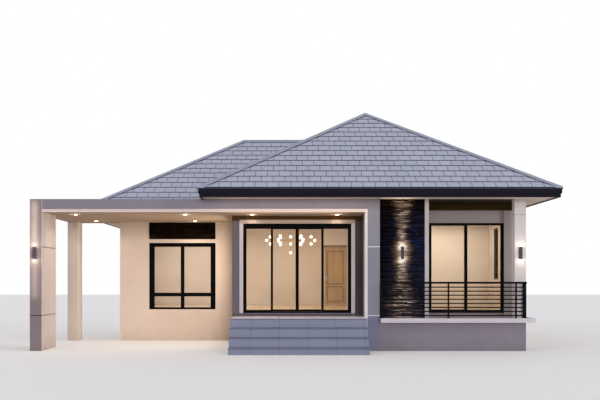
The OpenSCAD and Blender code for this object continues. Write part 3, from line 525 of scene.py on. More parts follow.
tiles = {"width": 0.300, "gauge": 0.341, "gap": 0.012, "butt": 0.024, "lift": 0.0015, "head": 0.004,
         "start": 0.014, "edge": 0.002, "phase": 0.224, "pitch": 30.0, "mainEave": 4.112, "wingEave": 3.800,
         "seed": 11}
slope = math.radians(tiles["pitch"])
rise, run = math.sin(slope), math.cos(slope)
straight = 0.9                                  # a face that looks this much one way counts as turned that way

tileLook = {"tones": ("#a0a5b3", "#b6bbc9"), "edge": "#3a3d4e", "speck": "#7d8296",
            "cap": ("#8b90a0", "#9ca1b0"), "capSpeck": "#747889", "felt": ("#23242f", "#343644")}
roofTile, shader, place = startMaterial("roofTile", specular=0.4)
speck = noise(place, 55.0, 5.0)
patch = times(noise(place, 0.9, 4.0), 0.6)
share = maths("ADD", times(faceValue("tileTone"), 0.3), patch)
colour = twoTone(share, tileLook)
colour = blend(spread(speck, 0.55, 0.8, 0.0, 0.35), colour, tileLook["speck"])
# painted shade: tile sides, butts and cut ends in the dark edge tone, as the shadow lines between tiles and
# courses
colourFrom(shader, blend(faceValue("tileEdgeShade"), colour, tileLook["edge"]),
           spread(speck, 0.3, 0.7, 0.55, 0.75))
bumpFrom(shader, speck, 0.0015)

material, shader, place = startMaterial("roofCap", roughness=0.6, specular=0.4)
speck = noise(place, 50.0, 5.0)
colour = blend(noise(place, 1.4, 3.0), *tileLook["cap"])
colourFrom(shader, blend(spread(speck, 0.55, 0.8, 0.0, 0.3), colour, tileLook["capSpeck"]))
bumpFrom(shader, speck, 0.0012)
dress(material, "roof_caps")

roofFelt, shader, place = startMaterial("roofUnderlay", roughness=0.9)
fibre = noise(place, 30.0, 4.0)
colourFrom(shader, blend(fibre, *tileLook["felt"]))
bumpFrom(shader, fibre, 0.002)
dress(roofFelt, "main_roof", "wing_roof")


# one side of a hip roof: the low left corner, its directions, and the planes that cut it
def slopeOf(outline, side, eave):
    left, right, front, back = outline
    x, y = Vector((1, 0, 0)), Vector((0, 1, 0))
    start, along, upPlan = {"front": ((left, front), x, y), "right": ((right, front), y, -x),
                            "back": ((right, back), -x, -y), "left": ((left, back), -y, x)}[side]
    length = right - left if side in ("front", "back") else back - front
    reach = min(right - left, back - front) / 2
    corner = Vector((*start, eave))
    cuts = [(corner, upPlan - along), (corner + along * length, upPlan + along),
            (corner + upPlan * reach, upPlan)]
    return corner, along, upPlan, length, reach, cuts


def laySlope(target, corner, along, upPlan, length, reach, cuts, rng):
    up = upPlan * run + Vector((0, 0, rise))
    outward = along.cross(up)
    width, gauge, gap = tiles["width"], tiles["gauge"], tiles["gap"]
    bm = newMesh("tileTone", "tileEdgeShade")
    toneLayer, edgeShadeLayer = (bm.faces.layers.float[name] for name in ("tileTone", "tileEdgeShade"))
    course = 0
    while course * gauge * run < reach:
        low = tiles["start"] if course == 0 else course * gauge
        high = (course + 1) * gauge
        inset = low * run
        first = (tiles["phase"] + (0.5 if course % 2 else 0.0) * width) % width - width
        k = 0
        while first + k * width < length - inset:
            left, right = first + k * width + gap / 2, first + (k + 1) * width - gap / 2
            k += 1
            if right < inset:
                continue
            butt = tiles["butt"] + rng.uniform(-tiles["lift"], tiles["lift"])
            middle = corner + along * ((left + right) / 2) + up * ((low + high) / 2) + outward * (butt / 2)
            before = len(bm.faces)
            verts = addTurnedBox(bm, middle, (along, up, outward), (right - left, high - low, butt))
            shade = rng.random()
            for face in facesSince(bm, before):
                # sides and butts get the painted shade of the edge tone
                side = face.normal.dot(up) < -straight or abs(face.normal.dot(along)) > straight
                face[toneLayer], face[edgeShadeLayer] = shade, 1.0 if side else 0.0
            for v in verts:                          # the head of a tile thins out under the next course
                off = v.co - middle
                if off.dot(up) > 0 and off.dot(outward) > 0:
                    v.co -= outward * (butt - tiles["head"])
        course += 1
    tops = [e for e in bm.edges if e.is_manifold
            and max(f.normal.dot(outward) for f in e.link_faces) > straight
            and min(f.normal.dot(up) for f in e.link_faces) < -straight]
    bevelAll(bm, tiles["edge"], tops)
    for point, normal in cuts:
        everything = bm.verts[:] + bm.edges[:] + bm.faces[:]
        bmesh.ops.bisect_plane(bm, geom=everything, plane_co=point, plane_no=normal, clear_outer=True)
        openEdges = [e for e in bm.edges if e.is_boundary]
        if openEdges:
            for face in bmesh.ops.holes_fill(bm, edges=openEdges, sides=0)["faces"]:
                face[edgeShadeLayer] = 1.0
    temp = meshFrom(bm, "slopeTemp")
    target.from_mesh(temp)
    bpy.data.meshes.remove(temp)


mainLow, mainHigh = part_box("main_roof")
wingLow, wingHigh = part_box("wing_roof")
mainOutline = (mainLow.x, mainHigh.x, mainLow.y, mainHigh.y)
wingOutline = (wingLow.x, mainHigh.x + 3.0, wingLow.y, wingHigh.y)    # runs on inside the main roof
step = (tiles["mainEave"] - tiles["wingEave"]) / math.tan(slope)
frontValley = Vector((mainLow.x, wingLow.y + step, 0))      # where the wing's slopes meet the main eave line
backValley = Vector((mainLow.x, wingHigh.y - step, 0))
rng = random.Random(tiles["seed"])

bm = newMesh("tileTone", "tileEdgeShade")
for side in ("front", "right", "back"):
    laySlope(bm, *slopeOf(mainOutline, side, tiles["mainEave"]), rng)
*leftSlope, cuts = slopeOf(mainOutline, "left", tiles["mainEave"])
for valley, slant in ((frontValley, Vector((-1, 1, 0))), (backValley, Vector((-1, -1, 0)))):
    laySlope(bm, *leftSlope, cuts + [(valley, slant)], rng)
mainTiles = finishPiece(bm, "main_roof_tiles", roofTile)

bm = newMesh("tileTone", "tileEdgeShade")
eaveLine = Vector((mainLow.x, 0, 0))
valleys = (("front", frontValley, Vector((1, -1, 0))), ("back", backValley, Vector((1, 1, 0))))
for side, valley, slant in valleys:
    *wingSlope, cuts = slopeOf(wingOutline, side, tiles["wingEave"])
    cuts = [(point, normal) for point, normal in cuts if normal.x < 0.5]
    laySlope(bm, *wingSlope, cuts + [(eaveLine, Vector((1, 0, 0)))], rng)
    laySlope(bm, *wingSlope, cuts + [(eaveLine, Vector((-1, 0, 0))), (valley, slant)], rng)
laySlope(bm, *slopeOf(wingOutline, "left", tiles["wingEave"]), rng)
wingTiles = finishPiece(bm, "wing_roof_tiles", roofTile)
print("roof tiles:", len(mainTiles.data.polygons), "+", len(wingTiles.data.polygons), "faces")


# dark strips beside the hip and ridge caps: the roll under the caps, widened and dark as the caps' painted
# shadow

rollShadow = {"from": 0.085, "to": 0.140, "high": 0.027, "sunk": 0.002, "start": 0.20, "short": 0.03}


def layRollShadow(bm, low, high, outward, inward):
    way = (high - low).normalized()
    low = low + way * rollShadow["start"]
    side = outward.cross(way)
    if side.dot(inward) < 0:
        side = -side
    near, far, tall = (rollShadow[key] for key in ("from", "to", "high"))
    middle = (low + high) / 2 + side * ((near + far) / 2) + outward * (tall / 2 - rollShadow["sunk"])
    addTurnedBox(bm, middle, (way, side, outward), ((high - low).length - rollShadow["short"], far - near, tall))


bm = newMesh()
for outline, eave, sides in ((mainOutline, tiles["mainEave"], ("front", "right", "back", "left")),
                             (wingOutline, tiles["wingEave"], ("front", "left", "back"))):
    onWing = outline is wingOutline
    for side in sides:
        corner, along, upPlan, length, reach, cuts = slopeOf(outline, side, eave)
        outward = along.cross(upPlan * run + Vector((0, 0, rise)))
        lift = Vector((0, 0, reach * math.tan(slope)))
        apexLeft = corner + (along + upPlan) * reach + lift
        apexRight = corner + along * length + (upPlan - along) * reach + lift
        if not (onWing and side == "back"):
            layRollShadow(bm, corner, apexLeft, outward, along)
        if not (onWing and side == "front"):
            layRollShadow(bm, corner + along * length, apexRight, outward, -along)
        if not onWing and side in ("left", "right"):
            layRollShadow(bm, apexLeft, apexRight, outward, -upPlan)
        if onWing and side in ("front", "back"):
            wingRidge = (wingLow.y + wingHigh.y) / 2
            valleyTop = Vector((mainLow.x + reach - step, wingRidge, apexLeft.z))
            layRollShadow(bm, Vector((wingLow.x + reach, wingRidge, apexLeft.z)), valleyTop, outward, -upPlan)
finishPiece(bm, "cap_roll_shadow", roofFelt)
print("cap bedding done")


# stone cladding: stacked split strips on the pier and over the wing window

stones = {"heights": (0.021, 0.026, 0.031, 0.038), "lengths": (0.12, 0.36), "proud": (0.018, 0.038),
          "rough": 0.0065, "rimRough": 0.6, "joint": 0.002, "chip": 0.006, "step": 0.045, "leastHigh": 0.02,
          "leastLong": 0.12, "pierReturn": 0.103, "panelWide": 2.0, "panelFoot": 3.055, "panelHead": 0.021,
          "seed": 23}
stoneLook = {"tones": ("#020307", "#060814"), "pale": "#10162e", "brown": ("#090402", "#6b4a1c"),
             "glint": "#323e6c", "glow": ("#ffca9c", "#fff0de"), "glowLow": "#ffd6b8", "across": (0.1, 3.4)}
lampGlow = {"halo": 1.75, "haloReach": 0.145, "haloPower": 2.5, "even": 0.35, "cone": 0.54, "coneStart": 0.048,
            "coneSpread": (0.135, 0.215), "coneRise": 0.15, "coneFade": 0.5, "facing": (0.10, 1.9, 1.3),
            "caught": (0.35, 1.9), "least": 0.014}

splitSlate, shader, place = startMaterial("splitSlate", specular=0.02)
tone = faceValue("stoneTone")
layers = noise(stretch(place, (1.0, 1.0, 5.0)), 14.0, 7.0, 0.65)
flecks = noise(place, 90.0, 4.0)
streak = noise(stretch(place, (1.6, 1.6, 42.0)), 2.4, 3.0)
streaks = (0.62, 0.72, 0.0, 0.6)
axes = axesOf(place)
colour = twoTone(spread(layers, 0.3, 0.7), stoneLook)
# pale and brown strips and pale flecks are the stone's own tones; the glint streaks are painted highlights
for value, limits, shade in ((tone, (0.72, 1.0, 0.0, 0.6), stoneLook["pale"]),
                             (tone, (0.0, 0.35, 0.6, 0.0), stoneLook["brown"][0]),
                             (flecks, (0.58, 0.75, 0.0, 0.35), stoneLook["pale"]),
                             (streak, streaks, stoneLook["glint"])):
    colour = blend(spread(value, *limits), colour, shade)
colour = blend(1.0, colour, spread(axes[0], legHigh.x, pierHigh.x, *stoneLook["across"]), "MULTIPLY")
# painted shade: browner towards the pier's top, under the eave; the panel over the wing window is brown-black
# too, with gold-brown painted highlight streaks
warmShadeHigh = spread(axes[2], 3.25, 3.75, 0.0, 0.9)
brownPanel = maths("GREATER_THAN", axes[1], -1.0)
brownAndGlints = blend(spread(streak, *streaks), *stoneLook["brown"])
colour = blend(maths("MAXIMUM", warmShadeHigh, brownPanel), colour, brownAndGlints)

# the pier lamp's light on the rough strips
glowShare = times(faceValue("stoneGlow"), spread(layers, 0.3, 0.7, 0.35, 1.6))
glowShare = times(glowShare, spread(streak, 0.3, 0.7, 0.4, 1.6))
glowShare = maths("MINIMUM", glowShare, 1.0)
faint = blend(spread(axes[2], 1.3, 2.3), stoneLook["glowLow"], stoneLook["glow"][0])
warm = blend(glowShare, faint, stoneLook["glow"][1])
colourFrom(shader, colour, spread(layers, 0.3, 0.7, 0.42, 0.7))
link(blend(glowShare, "#000000", warm), shader.inputs["Emission Color"])
shader.inputs["Emission Strength"].default_value = 1.0
bumpFrom(shader, maths("ADD", layers, times(flecks, 0.4)), 0.006, 0.7)


def layStone(bm, x0, x1, z0, z1, back, rng):
    toneLayer = bm.faces.layers.float["stoneTone"]
    gap = stones["joint"] / 2
    z = z0
    while z < z1 - 0.001:
        high = rng.choice(stones["heights"])
        if z1 - z - high < stones["leastHigh"]:
            high = z1 - z
        x = x0
        while x < x1 - 0.001:
            long = rng.uniform(*stones["lengths"])
            if x1 - x - long < stones["leastLong"]:
                long = x1 - x
            proud = rng.uniform(*stones["proud"])
            pieces = max(3, round(long / stones["step"]))
            before = len(bm.faces)
            place = Matrix.Translation((x + long / 2, back - proud, z + high / 2))
            place = place @ Matrix.Rotation(math.pi / 2, 4, "X")
            place = place @ Matrix.Diagonal((long / 2 - gap, high / 2 - gap, 1, 1))
            made = bmesh.ops.create_grid(bm, x_segments=pieces, y_segments=2, size=1.0, matrix=place)["verts"]
            faces = facesSince(bm, before)
            shade = rng.random()
            for v in made:
                rim = (abs(v.co.z - z - high / 2) > high / 2 - gap * 1.5 or
                       v.co.x - x < gap * 1.5 or x + long - v.co.x < gap * 1.5)
                rough = rng.uniform(-stones["rough"], stones["rough"])
                v.co.y += rough * stones["rimRough"] + stones["chip"] if rim else rough
            grown = bmesh.ops.extrude_face_region(bm, geom=faces)
            for v in grown["geom"]:
                if isinstance(v, bmesh.types.BMVert):
                    v.co.y = back
            for face in facesSince(bm, before):
                face[toneLayer] = shade
            x += long
        z += high


# brightness that a lamp's open ends give one face of stone
def stoneGlow(point, normal, lampEnds, shade):
    total = 0.0
    base, gain = lampGlow["caught"]
    caught = base + gain * (shade * 7.3 % 1.0) ** 2
    even = lampGlow["even"]
    for (lamp, way), spreading in zip(lampEnds, lampGlow["coneSpread"]):
        away = (point.z - lamp.z) * way
        side = abs(point.x - lamp.x)
        turned = max(0.0, normal.dot((lamp - point).normalized()))
        least, most, power = lampGlow["facing"]
        facing = (least + most * turned ** power) * caught
        distance = (side ** 2 + away ** 2) / lampGlow["haloReach"] ** 2
        halo = lampGlow["halo"] / (1.0 + distance) ** lampGlow["haloPower"]
        cone = 0.0
        if away > 0:
            width = lampGlow["coneStart"] + spreading * away
            cone = lampGlow["cone"] * math.exp(-(side / width) ** 2) * min(1.0, away / lampGlow["coneRise"])
            cone /= 1.0 + lampGlow["coneFade"] * away
        total += halo * (even + (1.0 - even) * caught) * (even + turned) + cone * facing
    return max(0.0, total - lampGlow["least"])


rng = random.Random(stones["seed"])
bm = newMesh("stoneTone", "stoneGlow")
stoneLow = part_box("stone_cladding")[0]
stoneBack = stoneLow.y + 0.040
layStone(bm, legHigh.x, pierHigh.x - stones["pierReturn"], pierLow.z, pierHigh.z, stoneBack, rng)
layStone(bm, stoneLow.x, stoneLow.x + stones["panelWide"], stones["panelFoot"],
         slabLow.z - stones["panelHead"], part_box("wing_front_wall")[0].y, rng)
bmesh.ops.recalc_face_normals(bm, faces=bm.faces[:])

wallLamps = sorted(lampBoxes("wall_lights"), key=lambda item: item[0].x)      # carport, pier and balcony
centre, low, high = wallLamps[1]
lampEnds = [(Vector((centre.x, low.y, high.z)), 1), (Vector((centre.x, low.y, low.z)), -1)]
toneLayer, glowLayer = (bm.faces.layers.float[name] for name in ("stoneTone", "stoneGlow"))
for face in bm.faces:
    middle = face.calc_center_median()
    onPier = middle.x > legHigh.x - 0.01
    face[glowLayer] = stoneGlow(middle, face.normal, lampEnds, face[toneLayer]) if onPier else 0.0
stonePiece = finishPiece(bm, "split_stone_strips", splitSlate)
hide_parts("stone_cladding")
print("stone strips:", len(stonePiece.data.polygons), "faces")


# front steps in stone tiles over a dark core

stair = {"tread": 0.022, "riserIn": 0.012, "riser": 0.012, "side": 0.010, "sideIn": 0.014, "joint": 0.004,
         "footGap": 0.003, "edge": 0.004, "pitch": 0.7110, "start": -1.0205, "least": 0.05, "deep": 0.62,
         "nosingShade": 0.6, "footShade": 0.15, "coreIn": 0.016, "coreSide": 0.002, "coreUp": 0.010, "seed": 5}
stepLook = {"tones": ("#7d8294", "#878c9e"), "nosingShade": "#474b60", "top": "#f0ecf4", "pits": "#666b7e",
            "grout": ("#1a1b25", "#242632")}
stepTile, shader, place = startMaterial("stepTile", specular=0.3)
mottle = noise(place, 7.0, 8.0, 0.65)
pits = noise(place, 160.0, 3.0)
share = maths("ADD", times(faceValue("tileTone"), 0.3), times(mottle, 0.7))
colour = twoTone(share, stepLook)
# painted shadow: a dark line on the front face of each tread, under its nosing; footShade darkens the lowest
# riser's front a little the same way
colour = blend(faceValue("tileNosingShade"), colour, stepLook["nosingShade"])
# painted highlight: the landing's top much paler than its tiles
landingTopHighlight = inZone(place, {"Z": (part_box("entry_landing")[1].z - skin, None)})
colour = blend(landingTopHighlight, colour, stepLook["top"])
colourFrom(shader, blend(spread(pits, 0.6, 0.8, 0.0, 0.3), colour, stepLook["pits"]),
           spread(mottle, 0.3, 0.7, 0.42, 0.6))
bumpFrom(shader, pits, 0.0008)
stepGrout, shader, place = startMaterial("stepGrout", roughness=0.9)
colourFrom(shader, blend(noise(place, 120.0, 3.0), *stepLook["grout"]))


def addTile(bm, low, high, rng, nosingShade=0.0):
    before = len(bm.faces)
    addBox(bm, low, high)
    shade = rng.random()
    for face in facesSince(bm, before):
        face[bm.faces.layers.float["tileTone"]] = shade
        face[bm.faces.layers.float["tileNosingShade"]] = nosingShade if face.normal.y < -straight else 0.0


def tilesBetween(x0, x1):
    marks = [stair["start"] + k * stair["pitch"] for k in range(-6, 12)]
    marks = [x0] + [m for m in marks if x0 + stair["least"] < m < x1 - stair["least"]] + [x1]
    return list(zip(marks[:-1], marks[1:]))


rng = random.Random(stair["seed"])
bm = newMesh("tileTone", "tileNosingShade")
core = newMesh()
stepNodes = ("lower_step", "middle_step", "upper_step", "entry_landing")
half = stair["joint"] / 2
for k, name in enumerate(stepNodes):
    low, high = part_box(name)
    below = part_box(stepNodes[k - 1])[1].z + stair["footGap"] if k else 0.0
    treadLow = high.z - stair["tread"]
    addBox(core, (low.x + stair["coreIn"], low.y + stair["coreIn"], 0.0),
           (high.x - stair["coreSide"], high.y, treadLow + stair["coreUp"]))
    riserFront = low.y + stair["riserIn"]
    onLanding = high.y - low.y > 0.5                 # the landing is two tiles deep
    rows = [(low.y, low.y + stair["deep"]), (low.y + stair["deep"], high.y)] if onLanding else [(low.y, high.y)]
    for left, right in tilesBetween(low.x, high.x):
        a = left + (half if left > low.x + 0.001 else 0.0)
        b = right - (half if right < high.x - 0.001 else 0.0)
        addTile(bm, (a, riserFront, below), (b, riserFront + stair["riser"], treadLow - half), rng,
                0.0 if k else stair["footShade"])
        for front, rear in rows:
            y0 = front + (half if front > low.y else 0.0)
            y1 = rear - (half if rear < high.y else 0.0)
            addTile(bm, (a, y0, treadLow), (b, y1, high.z), rng, stair["nosingShade"] if front == low.y else 0.0)
    sideLeft = low.x + stair["riserIn"]
    addTile(bm, (sideLeft, riserFront + stair["sideIn"], 0.0),
            (sideLeft + stair["side"], high.y - half, treadLow - half), rng)
bevelAll(bm, stair["edge"], segments=2)
steps = finishPiece(bm, "step_tiles", stepTile)
finishPiece(core, "step_core", stepGrout)
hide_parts(*stepNodes)
print("steps tiled")


# pale inlays in the joints of the right leg

inlay = {"levels": (0.912, 2.680), "high": 0.019, "edge": 0.0015, "front": 0.001, "deep": 0.0095}
inlayLook = {"tones": ("#ddd7da", "#e9e4e6"), "rough": (0.35, 0.55), "scale": 12.0}
paleInlay = sheenMaterial("paleInlay", inlayLook)[0]
bm = newMesh()
for z in inlay["levels"]:
    addBox(bm, (legLining, legLow.y + inlay["front"], z - inlay["high"] / 2),
           (legHigh.x, legLow.y + inlay["deep"], z + inlay["high"] / 2))
bevelAll(bm, inlay["edge"])
finishPiece(bm, "leg_inlays", paleInlay)


# rims and shallow domed lenses of the ceiling spots

spot = {"lens": 0.048, "rim": 0.060, "dome": 0.016, "inset": 0.001}
spots = lampBoxes("downlights")
rims, lenses = newMesh(), newMesh()
for centre, low, high in spots:
    bmesh.ops.create_circle(rims, cap_ends=True, radius=spot["rim"], segments=32,
                            matrix=Matrix.Translation((centre.x, centre.y, high.z)))
    rims.faces.ensure_lookup_table()
    face = rims.faces[-1]
    band = bmesh.ops.inset_region(rims, faces=[face], use_boundary=True, use_even_offset=True,
                                  thickness=spot["rim"] - spot["lens"])["faces"]
    for item in bmesh.ops.extrude_face_region(rims, geom=band)["geom"]:
        if isinstance(item, bmesh.types.BMVert):
            item.co.z = low.z
    bmesh.ops.delete(rims, geom=[face], context="FACES_ONLY")
    lensRadius = spot["lens"] - spot["inset"]
    place = Matrix.Translation((centre.x, centre.y, high.z - spot["inset"]))
    place = place @ Matrix.Diagonal((lensRadius, lensRadius, spot["dome"], 1))
    bmesh.ops.create_uvsphere(lenses, u_segments=28, v_segments=12, radius=1.0, matrix=place)
bmesh.ops.recalc_face_normals(rims, faces=rims.faces[:])
rimPiece = finishPiece(rims, "downlight_rims", paleInlay)
finishPiece(lenses, "downlight_lenses", lensGlow, smooth=True)
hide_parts("downlights")


# back door: mouldings round its panels on both faces

panels = {"side": 0.105, "levels": ((0.140, 0.620), (0.760, 1.880)), "bead": 0.034, "proud": 0.007,
          "off": 0.0002, "edge": 0.002}


def addFrame(bm, x0, x1, z0, z1, y0, y1, wide):
    addBox(bm, (x0, y0, z0), (x0 + wide, y1, z1))
    addBox(bm, (x1 - wide, y0, z0), (x1, y1, z1))
    addBox(bm, (x0 + wide, y0, z0), (x1 - wide, y1, z0 + wide))
    addBox(bm, (x0 + wide, y0, z1 - wide), (x1 - wide, y1, z1))


doorLow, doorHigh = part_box("back_door")
bead, off, proud = (panels[key] for key in ("bead", "off", "proud"))
bm = newMesh()
for y0, y1 in ((doorLow.y - proud, doorLow.y - off), (doorHigh.y + off, doorHigh.y + proud)):
    for foot, head in panels["levels"]:
        addFrame(bm, doorLow.x + panels["side"] - bead, doorHigh.x - panels["side"] + bead,
                 doorLow.z + foot - bead, doorLow.z + head + bead, y0, y1, bead)
bevelAll(bm, panels["edge"])
finishPiece(bm, "back_door_mouldings", mouldingWood, body="back_door_leaf")


# seals behind the sliding leaves, at head and foot, and where the entry leaves meet

seal = {"thick": 0.009, "lap": 0.012, "off": 0.001, "side": 0.062, "up": 0.0055, "down": 0.0002}
meeting = {"left": 0.012, "right": 0.018, "off": 0.0003, "thick": 0.008, "foot": 0.02, "head": 0.014}
for name, leafNode, frameNode in (("entry_door_seals", "left_leaf", "entry_door_frame"),
                                  ("balcony_door_seals", "balcony_leaf", "balcony_door_frame")):
    leafLow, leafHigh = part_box(leafNode)
    frameLow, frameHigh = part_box(frameNode)
    y0 = leafHigh.y + seal["off"]
    bm = newMesh()
    for z0, z1 in ((leafHigh.z - seal["lap"], leafHigh.z + seal["up"]),
                   (leafLow.z - seal["down"], leafLow.z + seal["lap"])):
        addBox(bm, (frameLow.x + seal["side"], y0, z0),
               (frameHigh.x - seal["side"], y0 + seal["thick"], z1))
    finishPiece(bm, name, blackAluminium)
leafLow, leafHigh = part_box("left_leaf")
bm = newMesh()
addBox(bm, (leafHigh.x - meeting["left"], leafHigh.y + meeting["off"], leafLow.z + meeting["foot"]),
       (leafHigh.x + meeting["right"], leafHigh.y + meeting["thick"], leafHigh.z - meeting["head"]))
finishPiece(bm, "entry_meeting_seal", blackAluminium, body="entry_left_leaf")


# casing round the back door's frame, inside

casing = {"wide": 0.075, "thick": 0.012, "lap": 0.012, "off": 0.0003, "foot": 0.0005, "edge": 0.003}
frameLow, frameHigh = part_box("back_door_frame")
wide = casing["wide"]
reach = wide - casing["lap"]
x0, x1, top = frameLow.x - reach, frameHigh.x + reach, frameHigh.z + reach
y1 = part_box("back_wall_right")[0].y
y0, y1 = y1 - casing["thick"], y1 - casing["off"]
bm = newMesh()
addBox(bm, (x0, y0, frameLow.z + casing["foot"]), (x0 + wide, y1, top))
addBox(bm, (x0 + wide, y0, top - wide), (x1, y1, top))
bevelAll(bm, casing["edge"])
finishPiece(bm, "back_door_casing", mouldingWood)
print("inlays, mouldings, casing and seals done")


# two globes on the stem of the branched lamp, and lenses in the open ends of the wall lights

globe = {"radius": 0.042, "levels": (-0.107, 0.107)}
lens = {"radius": 0.0205, "thick": 0.003, "in": 0.017}
globesLow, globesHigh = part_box("chandelier_globes")
globesMiddle = (globesLow + globesHigh) / 2
armLevel = globesHigh.z - globe["radius"] - globe["levels"][1]
bm = newMesh()
for level in globe["levels"]:
    bmesh.ops.create_uvsphere(bm, u_segments=28, v_segments=16, radius=globe["radius"],
                              matrix=Matrix.Translation((globesMiddle.x, globesMiddle.y, armLevel + level)))
finishPiece(bm, "stem_globes", globeGlow, smooth=True)

bm = newMesh()
for centre, low, high in lampBoxes("wall_lights"):
    for z in (high.z - lens["in"], low.z + lens["in"]):
        bmesh.ops.create_cone(bm, cap_ends=True, segments=24, radius1=lens["radius"],
                              radius2=lens["radius"], depth=lens["thick"],
                              matrix=Matrix.Translation((centre.x, centre.y, z)))
finishPiece(bm, "wall_light_lenses", lensGlow)
print("trims and lamps:", len(spots), "spots,", len(wallLamps), "wall lights")


# studio floor and camera

studio = {"size": 140.0, "middle": (0, 20, -0.002), "floor": "#e9e7e4", "lift": 0.18}
bm = newMesh()
bmesh.ops.create_grid(bm, x_segments=1, y_segments=1, size=studio["size"] / 2,
                      matrix=Matrix.Translation(studio["middle"]))
floor = addObject("studioFloor", meshFrom(bm, "studioFloor"))
material, shader, place = startMaterial("studioFloor", roughness=0.9)
shader.inputs["Base Color"].default_value = tint(studio["floor"])
shader.inputs["Emission Color"].default_value = (1, 1, 1, 1)
seenFloor = tree.nodes.new("ShaderNodeLightPath").outputs["Is Camera Ray"]
link(times(seenFloor, studio["lift"]), shader.inputs["Emission Strength"])
floor.data.materials.append(material)
floor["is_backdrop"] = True

shot = {"place": (-0.1485, -29.295, 1.825), "lens": 57.48, "sensor": 36.0, "shift": (0.0237, 0.1333),
        "far": 500.0}
camera = addObject("camera", bpy.data.cameras.new("camera"))
camera.location = shot["place"]
camera.rotation_euler = (math.pi / 2, 0, 0)
camera.data.sensor_width = shot["sensor"]
camera.data.lens = shot["lens"]
camera.data.shift_x, camera.data.shift_y = shot["shift"]
camera.data.clip_end = shot["far"]
bpy.context.scene.camera = camera


# lights, angles in degrees

tints = {"sun": "#faf7ff", "spot": "#fff0e0", "wall": "#ffe9d2", "end": "#fffaf0", "wash": "#f6f3dc"}


def addLight(kind, name, place, energy, colour, turn=(0, 0, 0), **settings):
    data = bpy.data.lights.new(name, kind)
    data.energy = energy
    data.color = tint(tints.get(colour, colour))[:3]
    for key, value in settings.items():
        setattr(data, key, math.radians(value) if key in ("angle", "spot_size", "spread") else value)
    lamp = addObject(name, data)
    lamp.location = place
    lamp.rotation_euler = [math.radians(angle) for angle in turn]
    lamp.visible_camera = lamp.visible_glossy = lamp.visible_transmission = False


def addPanel(name, place, energy, colour, size, turn=(0, 0, 0), **settings):
    addLight("AREA", name, place, energy, colour, turn, shape="RECTANGLE", size=size[0], size_y=size[1],
             **settings)


# name, energy, tilt above level, turn to the side, angle of softness
suns = (("frontLight", 1.15, 4.5, 7.0, 9.0), ("sideLight", 0.42, 14.0, 52.0, 35.0),
        ("sideLight", 0.42, 14.0, -52.0, 35.0))
for name, energy, tilt, turn, soft in suns:
    addLight("SUN", name, (0, -20, 10), energy, "sun", (90 - tilt, 0, turn), angle=soft)

spotLight = {"halo": 3.0, "haloDrop": 0.09, "drop": 0.02, "porch": 9.0, "carport": 31.0, "porchFrom": -1.6}
for centre, low, high in spots:
    energy = spotLight["porch"] if centre.x > spotLight["porchFrom"] else spotLight["carport"]
    addLight("SPOT", "soffitHalo", (centre.x, centre.y, low.z - spotLight["haloDrop"]), spotLight["halo"],
             "spot", (180, 0, 0), spot_size=150, spot_blend=0.6, shadow_soft_size=0.03)
    addLight("SPOT", "downlight", (centre.x, centre.y, low.z - spotLight["drop"]), energy, "spot",
             spot_size=140, spot_blend=0.8, shadow_soft_size=0.05)

# for the lamps on the carport column, the pier and the balcony column: out from the wall, off the lamp's end
wallLight = {"beam": (9.0, 5.0, 0.8), "halo": (1.7, 0.25, 0.8), "endShare": 0.5, "haloPlace": (0.15, 0.05),
             "endPlace": (0.06, 0.02), "beamPlace": (0.10, -0.004), "soffit": 6.5, "soffitOut": 0.26,
             "soffitLevel": 3.44, "wash": ((3.32, 1.05, 1.15), (1.80, 0.9, 0.52)), "washOut": 0.17,
             "washWide": 0.08}                       # each wash with its level, height and energy
for (centre, low, high), beam, halo in zip(wallLamps, wallLight["beam"], wallLight["halo"]):
    for name, key, energy, colour, soft in (("wallHalo", "haloPlace", halo, "wall", 0.05),
                                            ("lampEnd", "endPlace", halo * wallLight["endShare"], "end", 0.02)):
        out, off = wallLight[key]
        for z in (high.z + off, low.z - off):
            addLight("POINT", name, (centre.x, high.y - out, z), energy, colour, shadow_soft_size=soft)
    out, off = wallLight["beamPlace"]
    for z, turn in ((high.z + off, 180), (low.z - off, 0)):
        addLight("SPOT", "wallBeam", (centre.x, high.y - out, z), beam, "wall", (turn, 0, 0),
                 spot_size=50, spot_blend=1.0, shadow_soft_size=0.02)
soffitPlace = (wallLamps[1][0].x, stoneBack - wallLight["soffitOut"], wallLight["soffitLevel"])
addLight("SPOT", "pierSoffit", soffitPlace, wallLight["soffit"], "spot", (180, 0, 0),
         spot_size=125, spot_blend=1.0, shadow_soft_size=0.05)
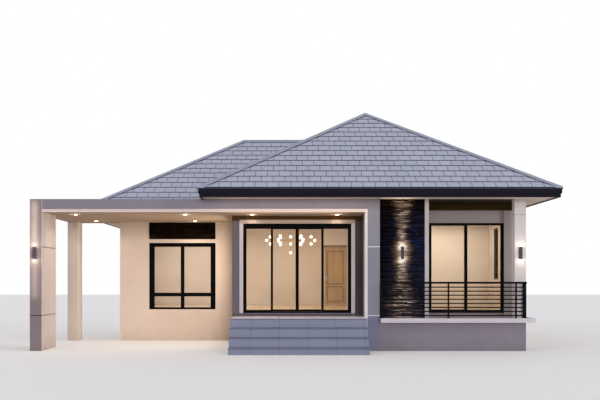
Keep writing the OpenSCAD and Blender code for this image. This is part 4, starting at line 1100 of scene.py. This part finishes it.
for z, tall, energy in wallLight["wash"]:
    addPanel("columnWash", (wallLamps[0][0].x, columnLow.y - wallLight["washOut"], z), energy, "wash",
             (wallLight["washWide"], tall), (90, 0, 0), spread=100)

# soft light under the carport, the eave and the porch, and in the rooms: place, energy, colour, size, turn
fills = (("carportFill", (-1.75, -2.2, 2.3), 47.0, "spot", (2.0, 2.6), (0, 90, 0)),
         ("eaveFill", (0.2, -5.30, 3.62), 8.0, "spot", (4.2, 0.08), (86, 0, 0)),
         ("porchFill", (-0.2, -4.36, 3.32), 5.2, "spot", (3.0, 0.5), (180, 0, 0)),
         ("livingLight", (0.3, 0.5, 3.45), 61.0, "#f4ead4", (2.8, 7.0)),
         ("wingLight", (-3.2, 2.4, 3.45), 90.0, "#fbfdff", (2.6, 3.8)),
         ("bedroomLight", (4.0, -2.1, 3.45), 60.0, "#fff3e4", (3.0, 1.8)),
         ("backLight", (4.0, 2.2, 3.45), 50.0, "#fff3e4", (2.4, 3.6)))
for fill in fills:
    addPanel(*fill)
for off in (-1.6, 2.2):
    addLight("POINT", "globeLight", (globesMiddle.x - 0.5, globesMiddle.y + off, 2.95), 61.0, "#f2e8d3",
             shadow_soft_size=0.35)

# pale world light, with white behind the house
sky = {"strength": 0.60, "tint": "#f4f4fb"}
world = bpy.data.worlds.new("studio")
bpy.context.scene.world = world
world.use_nodes = True
tree = world.node_tree
tree.nodes.clear()
path = tree.nodes.new("ShaderNodeLightPath").outputs
mirrored = maths("MAXIMUM", path["Is Glossy Ray"], path["Is Transmission Ray"])
seen = maths("MAXIMUM", path["Is Camera Ray"], mirrored)
plain = addNode("Background", {"Color": tint(sky["tint"]), "Strength": sky["strength"]})
white = addNode("Background", {"Color": (1, 1, 1, 1), "Strength": 1.0})
mix = addNode("MixShader", {0: seen, 1: plain.outputs[0], 2: white.outputs[0]})
addNode("OutputWorld", {0: mix.outputs[0]})
bpy.context.scene.view_settings.view_transform = "Standard"
print("stage, camera and lights ready")

low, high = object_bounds()
